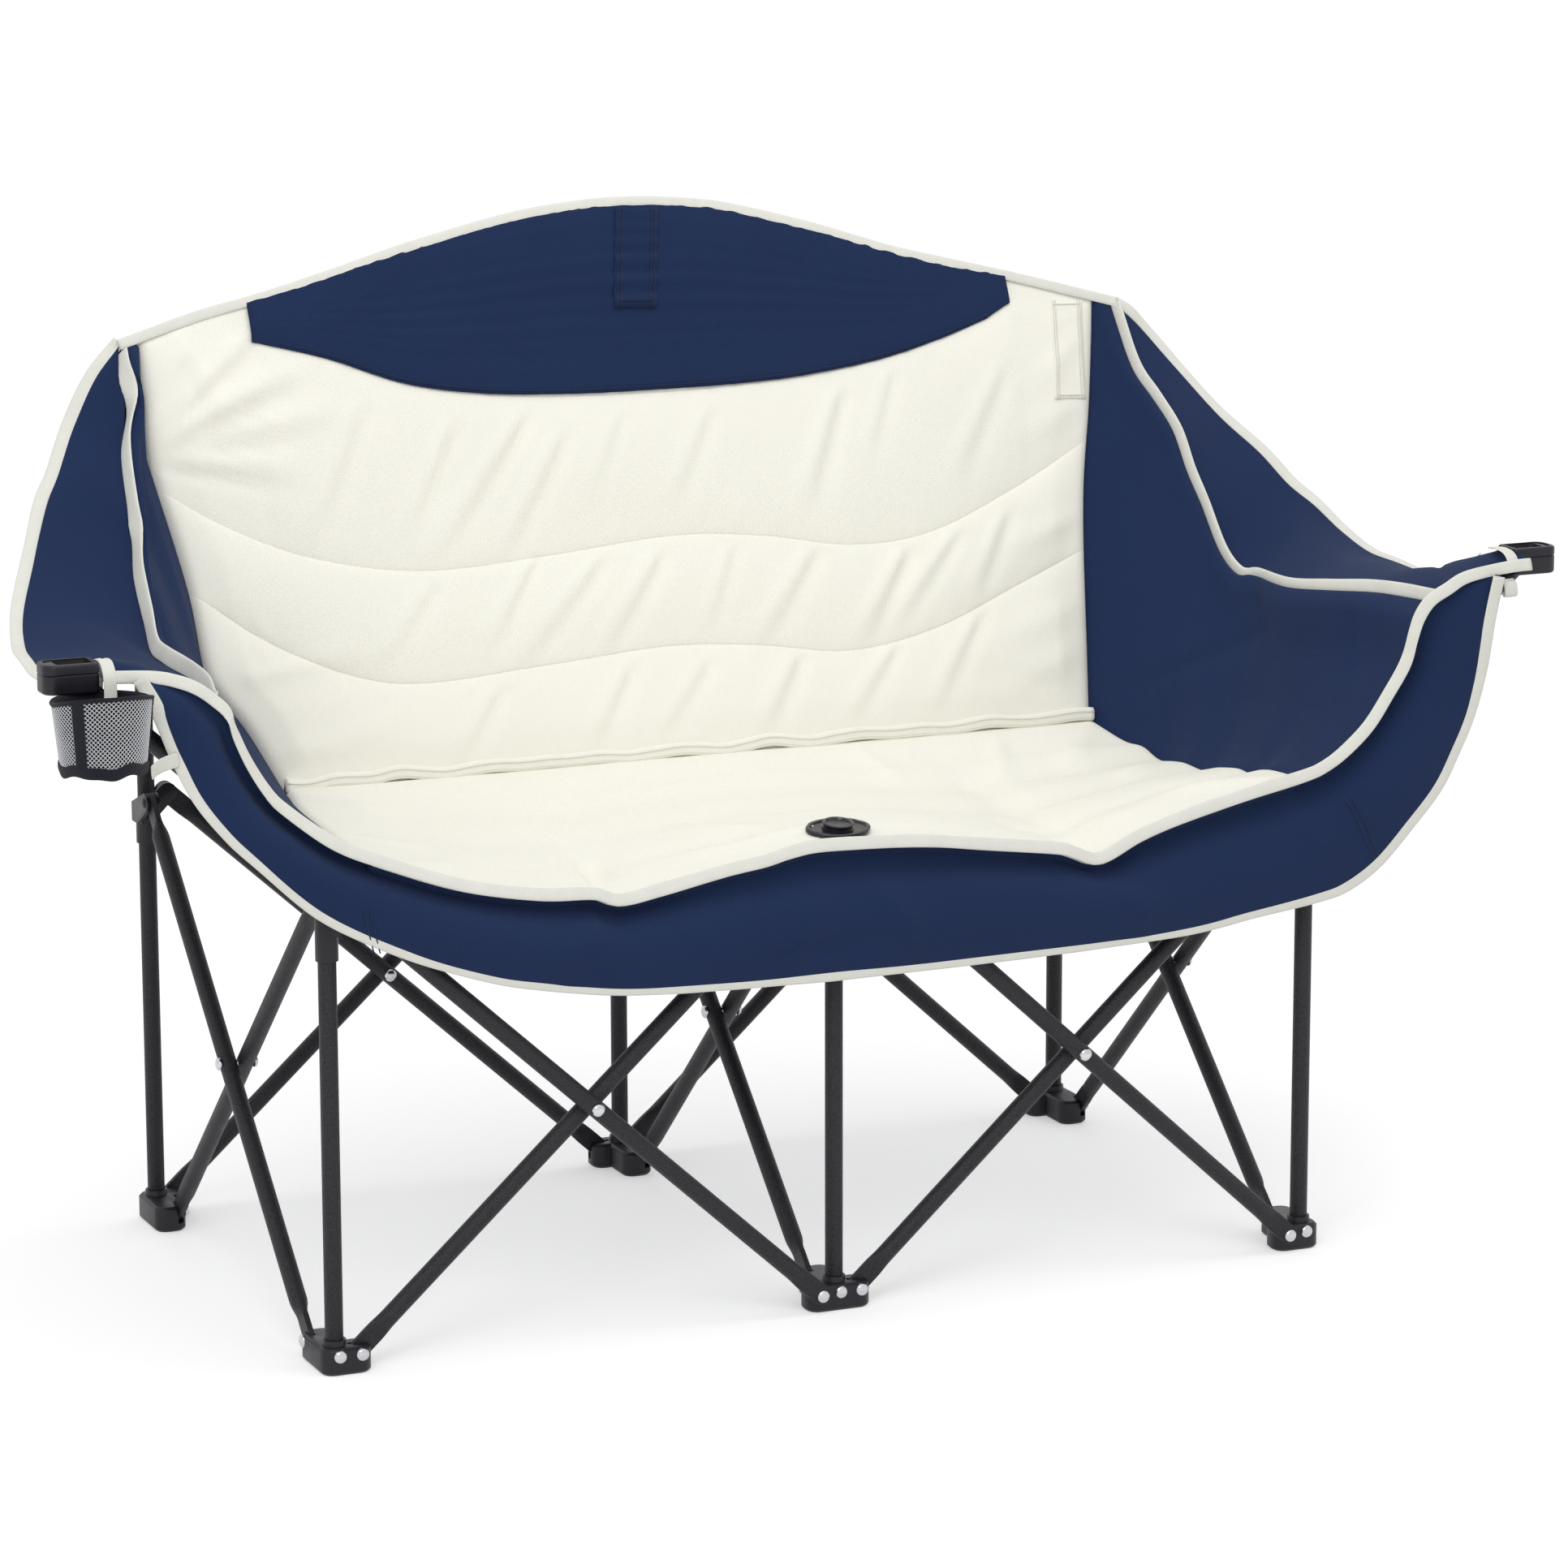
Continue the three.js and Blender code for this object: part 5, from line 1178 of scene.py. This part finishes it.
def cupDone(made, material, replaced=()):
    # the front of the mouth stands higher than its back, and the floor is raised
    for v in made.data.vertices:
        share = min(max(v.co.z * 1000 / cupHeight + 0.5, 0), 1)
        toFront = min(max(-v.co.y * 1000 / cup["topRadius"], 0), 1)
        v.co.z += (share * cup["frontRise"] * toFront + (1 - share) * cup["floorRise"]) / 1000
    made.location = (cup["x"] / 1000, cup["y"] / 1000 + lineY, (cup["low"] + cup["high"]) / 2000)
    return finishPiece(made, material, "arm_left", replaced, 50)


# The dark sheet inside the net paints the shade seen through its holes.
shadeLining = cupWall("cupShadeLining", 0, 56)
choose("edges", lambda p, d: p.z < -cupHeight / 2 + 0.1)
pushOut(0, 0, 0)
stretch(cup["floorShare"], cup["floorShare"], 1)
shift(0, 0, -cup["floorSink"])
capHole()
editOff()
applyModifier(shadeLining, "SOLIDIFY", thickness=cup["wall"] / 1000, offset=-1)
cupDone(shadeLining, blackWebbingAndShade, ["cup_holder"])

# The net: crossed threads from the corners of its facets to their middles
net = cupWall("cupNet", cupNet["out"], cupNet["turns"], cupNet["low"], cupNet["high"])
divideEdges(standing, cupNet["rows"] - 1)
chooseAll()
bpy.ops.mesh.poke()
netLow, netHigh = cupHeight * (cupNet["low"] - 0.5) + 0.05, cupHeight * (cupNet["high"] - 0.5) - 0.05
choose("edges", lambda p, d: (abs(d.z) > 0.97 or abs(d.z) < 0.02) and netLow < p.z < netHigh)
bpy.ops.mesh.dissolve_edges(use_verts=False)
editOff()
applyModifier(net, "WIREFRAME", thickness=cupNet["thread"] / 1000, use_even_offset=False, use_replace=True)
cupDone(net, netThread)

for name, at, reach in cupTrim["strips"]:
    piece = cupWall(name, cupTrim["stripOut"], cupTrim["stripTurns"])
    choose("faces", lambda p, n: abs((math.degrees(math.atan2(p.y, p.x)) - at + 180) % 360 - 180) >= reach)
    bpy.ops.mesh.delete(type="FACE")
    divideEdges(standing, cupTrim["stripCuts"])
    choose("verts", lambda p, n: int((p.z + cupHeight) / cupTrim["ribs"]) % 2 == 0)
    stretch(cupTrim["ribRise"], cupTrim["ribRise"], 1)
    editOff()
    applyModifier(piece, "SOLIDIFY", thickness=cupTrim["stripWall"] / 1000, offset=0)
    cupDone(piece, blackWebbingAndShade)
for name, low, high, out in cupTrim["hems"]:
    trim = cupWall(name, out, cupTrim["hemTurns"], low, high)
    divideEdges(standing, cupTrim["hemCuts"])
    mesh = bmesh.from_edit_mesh(trim.data)
    for v in mesh.verts:
        angle = math.atan2(v.co.y, v.co.x)
        share = (v.co.z * 1000 / cupHeight + 0.5 - low) / (high - low)
        puff = 1 + cupTrim["puff"] * math.sin(math.pi * min(max(share, 0), 1))
        v.co.x *= puff
        v.co.y *= puff
        if low < 0.5:
            v.co.z += sum(depth * math.sin(turns * angle + start) for depth, turns, start in cupTrim["waves"])
    bmesh.update_edit_mesh(trim.data)
    editOff()
    applyModifier(trim, "SOLIDIFY", thickness=cupTrim["hemWall"] / 1000, offset=0)
    cupDone(trim, blackWebbingAndShade)
print("stage: cup holder")

# Seat plate and its round nut
plate = {"x": 4, "length": 60, "width": 44, "low": 434.5, "high": 437.5, "edge": 0.9, "rim": 2.4, "rimStep": 0.9,
         "sink": 1.3, "lean": 9, "endAt": 24, "endShare": 0.9}
oval = startPiece("seatPlateOval", bpy.ops.mesh.primitive_cylinder_add, vertices=72, radius=0.5, depth=1)
editOn(oval)
chooseAll()
stretch(plate["length"] / 1000, plate["width"] / 1000, (plate["high"] - plate["low"]) / 1000)
for sign in (-1, 1):
    choose("verts", lambda p, n: sign * p.x > plate["endAt"])
    stretch(1, plate["endShare"], 1)
roundEdges(lambda p, d: abs(d.z) < 0.1 and p.z > 1, plate["edge"], 3)
choose("faces", lambda p, n: n.z > 0.99 and p.z > 1)
insetBy(plate["rim"])
insetBy(plate["rimStep"])
shift(0, 0, -plate["sink"])
editOff()

nut = {"radius": 14.5, "low": 435.8, "high": 441.5, "waist": (-1.4, -0.9, 0.4), "waistShare": 0.9, "edge": 1.2,
       "rings": ((2.2, 0), (0.8, 1.3), (2.8, 0.4))}
knob = startPiece("seatNut", bpy.ops.mesh.primitive_cylinder_add, vertices=64, radius=nut["radius"] / 1000,
                  depth=(nut["high"] - nut["low"]) / 1000)
editOn(knob)
for z in nut["waist"]:
    cutLevel(z)
choose("verts", lambda p, n: -1 < p.z < 1)
stretch(nut["waistShare"], nut["waistShare"], 1)
roundEdges(lambda p, d: abs(d.z) < 0.1 and p.z > 2.5, nut["edge"], 4)
choose("faces", lambda p, n: n.z > 0.99 and p.z > 2.5)
for width, sink in nut["rings"]:
    insetBy(width)
    shift(0, 0, -sink)
editOff()
for made, form, node in ((oval, plate, "seat_plate"), (knob, nut, "seat_knob")):
    made.location = (plate["x"] / 1000, lineY, (form["low"] + form["high"]) / 2000)
    made.rotation_euler = (math.radians(plate["lean"]), 0, 0)
    finishPiece(made, glossPlastic, "hub_front_middle", [node], 30)
print("stage: seat plate")

# Cream webbing: the loops at the arm ends and the strap from the cup holder to the hem
webbing = {
    "armLoop_left": ("arm_left", (1, 0, 0), 11.5, [
        (-665, 3, 606), (-665, -1, 628), (-665, -10, 638), (-665, -20, 640.5), (-665, -30, 638.5),
        (-665.5, -39.5, 630), (-666, -43, 615), (-667, -44, 592)]),
    "armLoop_right": ("wing_right", (1, 0, 0), 11.5, [
        (660, -2, 641), (660, -14, 642), (660.5, -26, 640.5), (661, -33, 636), (661, -38, 628)]),
    "armTab_right": ("wing_right", (1, 0, 0), 14, [
        (655, -36, 617), (655.5, -41, 613), (656, -42, 605), (656, -40, 602), (656, -37, 606)]),
    "cupStrap": ("arm_left", (0, 0.1, 1), 12, [
        (-645, -84, 556), (-637, -72, 557), (-626, -60, 557.5), (-612, -50, 558)])}
for name, (held, wide, width, path) in webbing.items():
    made = tape(name, smooth(path, 60), wide, width, 1.7)
    if held in gather:
        crumple(made, held)
    else:
        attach(made, held)
print("stage: webbing")

# Navy pockets on the back, which the tops of the rear posts stand in
pockets = {"left": (-postSpacing, 720, 832), "middle": (0, 826, 934), "right": (postSpacing, 720, 829)}
pocketForm = {"long": 45, "rows": 30, "halfWidth": 31, "flare": 0.06, "rear": 526, "bow": 1.5, "thickness": 1.6,
              "underTape": 8, "sink": 3, "closedOver": 0.12, "closedPower": 0.5, "square": 2.2, "squarePower": 0.6}
for column, (x0, low, high) in pockets.items():
    across = np.linspace(-1, 1, pocketForm["long"])[None, :]
    up = np.linspace(0, 1, pocketForm["rows"])[:, None]
    grid = np.zeros((pocketForm["rows"], pocketForm["long"], 3))
    grid[..., 0] = x0 + pocketForm["halfWidth"] * across * (1 + pocketForm["flare"] * (1 - up))
    grid[..., 2] = low + (high - low) * up
    underTape = np.minimum(grid[..., 2], crossing(borderXZ, grid[..., 0]) - pocketForm["underTape"])
    wall = backSurface(grid[..., 0], underTape) + back["thickness"] - pocketForm["sink"]
    reach = pocketForm["rear"] + pocketForm["bow"] * arch(up) - wall
    closed = np.clip((1 - up) / pocketForm["closedOver"], 0.0, 1) ** pocketForm["closedPower"]
    grid[..., 1] = wall + reach * (1 - np.abs(across) ** pocketForm["square"]) ** pocketForm["squarePower"] * closed
    made = shell(f"postPocket_{column}", faced(grid, (0, 1, 0)), pocketForm["thickness"], [navyCloth])
    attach(made, f"leg_rear_{column}")
print("stage: pockets")

for name, node in nodes.items():
    if not node.hide_render:
        print("still shown as CAD:", name)
        node.data.materials.clear()
        node.data.materials.append(blackPlastic)

# Camera, where the photographer stood
camera = {"place": (-1952.63, -4381.62, 1479.19), "turn": 0.410134, "down": 0.206210, "roll": -0.00204,
          "lens": 128.51, "sensor": 36, "far": 200}
data = bpy.data.cameras.new("camera")
data.sensor_width = camera["sensor"]
data.lens = camera["lens"]
data.clip_end = camera["far"]
seen = bpy.data.objects.new("camera", data)
bpy.context.scene.collection.objects.link(seen)
seen.matrix_world = (Matrix.Translation(Vector(toRow([camera["place"]])[0]))
                     @ Matrix.Rotation(-camera["turn"], 4, "Z")
                     @ Matrix.Rotation(math.pi / 2 - camera["down"], 4, "X")
                     @ Matrix.Rotation(camera["roll"], 4, "Z"))
bpy.context.scene.camera = seen

# Studio: a pale floor that keeps the shadow, an even white surround and two soft lamps
def seenRay(tree):
    path = tree.nodes.new("ShaderNodeLightPath")
    seen = mathNode(tree, "MAXIMUM", path.outputs["Is Camera Ray"], path.outputs["Is Glossy Ray"])
    return mathNode(tree, "MAXIMUM", seen, path.outputs["Is Transmission Ray"])


studio = {"surround": 0.74, "floorTone": 0.8, "floorFill": 0.42, "key": 34, "topLamp": 13}
floor = startPiece("floor", bpy.ops.mesh.primitive_plane_add, size=60)
floor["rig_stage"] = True
paper, tree, shader = newMaterial("floorPaper")
shader.inputs["Base Color"].default_value = (studio["floorTone"],) * 3 + (1,)
shader.inputs["Roughness"].default_value = 1
shader.inputs["Specular IOR Level"].default_value = 0
shader.inputs["Emission Color"].default_value = (1, 1, 1, 1)
tree.links.new(times(tree, seenRay(tree), studio["floorFill"]), shader.inputs["Emission Strength"])
floor.data.materials.append(paper)

world = bpy.data.worlds.new("world")
world.use_nodes = True
tree = world.node_tree
background = tree.nodes["Background"]
background.inputs["Color"].default_value = (1, 1, 1, 1)
strength = mathNode(tree, "ADD", times(tree, seenRay(tree), 1 - studio["surround"]), studio["surround"])
tree.links.new(strength, background.inputs["Strength"])
bpy.context.scene.world = world
bpy.context.scene.view_settings.view_transform = "Standard"


def areaLight(name, place, target, size, power):
    light = bpy.data.lights.new(name, "AREA")
    light.size = size
    light.energy = power
    made = bpy.data.objects.new(name, light)
    bpy.context.scene.collection.objects.link(made)
    made.location = place
    made.rotation_mode = "QUATERNION"
    made.rotation_quaternion = (Vector(target) - Vector(place)).to_track_quat("-Z", "Y")


areaLight("key", (-1.6, -2.6, 2.6), (0, 0, 0.5), 1.6, studio["key"])
areaLight("top", (0.4, -0.2, 2.8), (0, 0, 0.5), 1.8, studio["topLamp"])
print("stage: camera and light")

low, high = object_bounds()
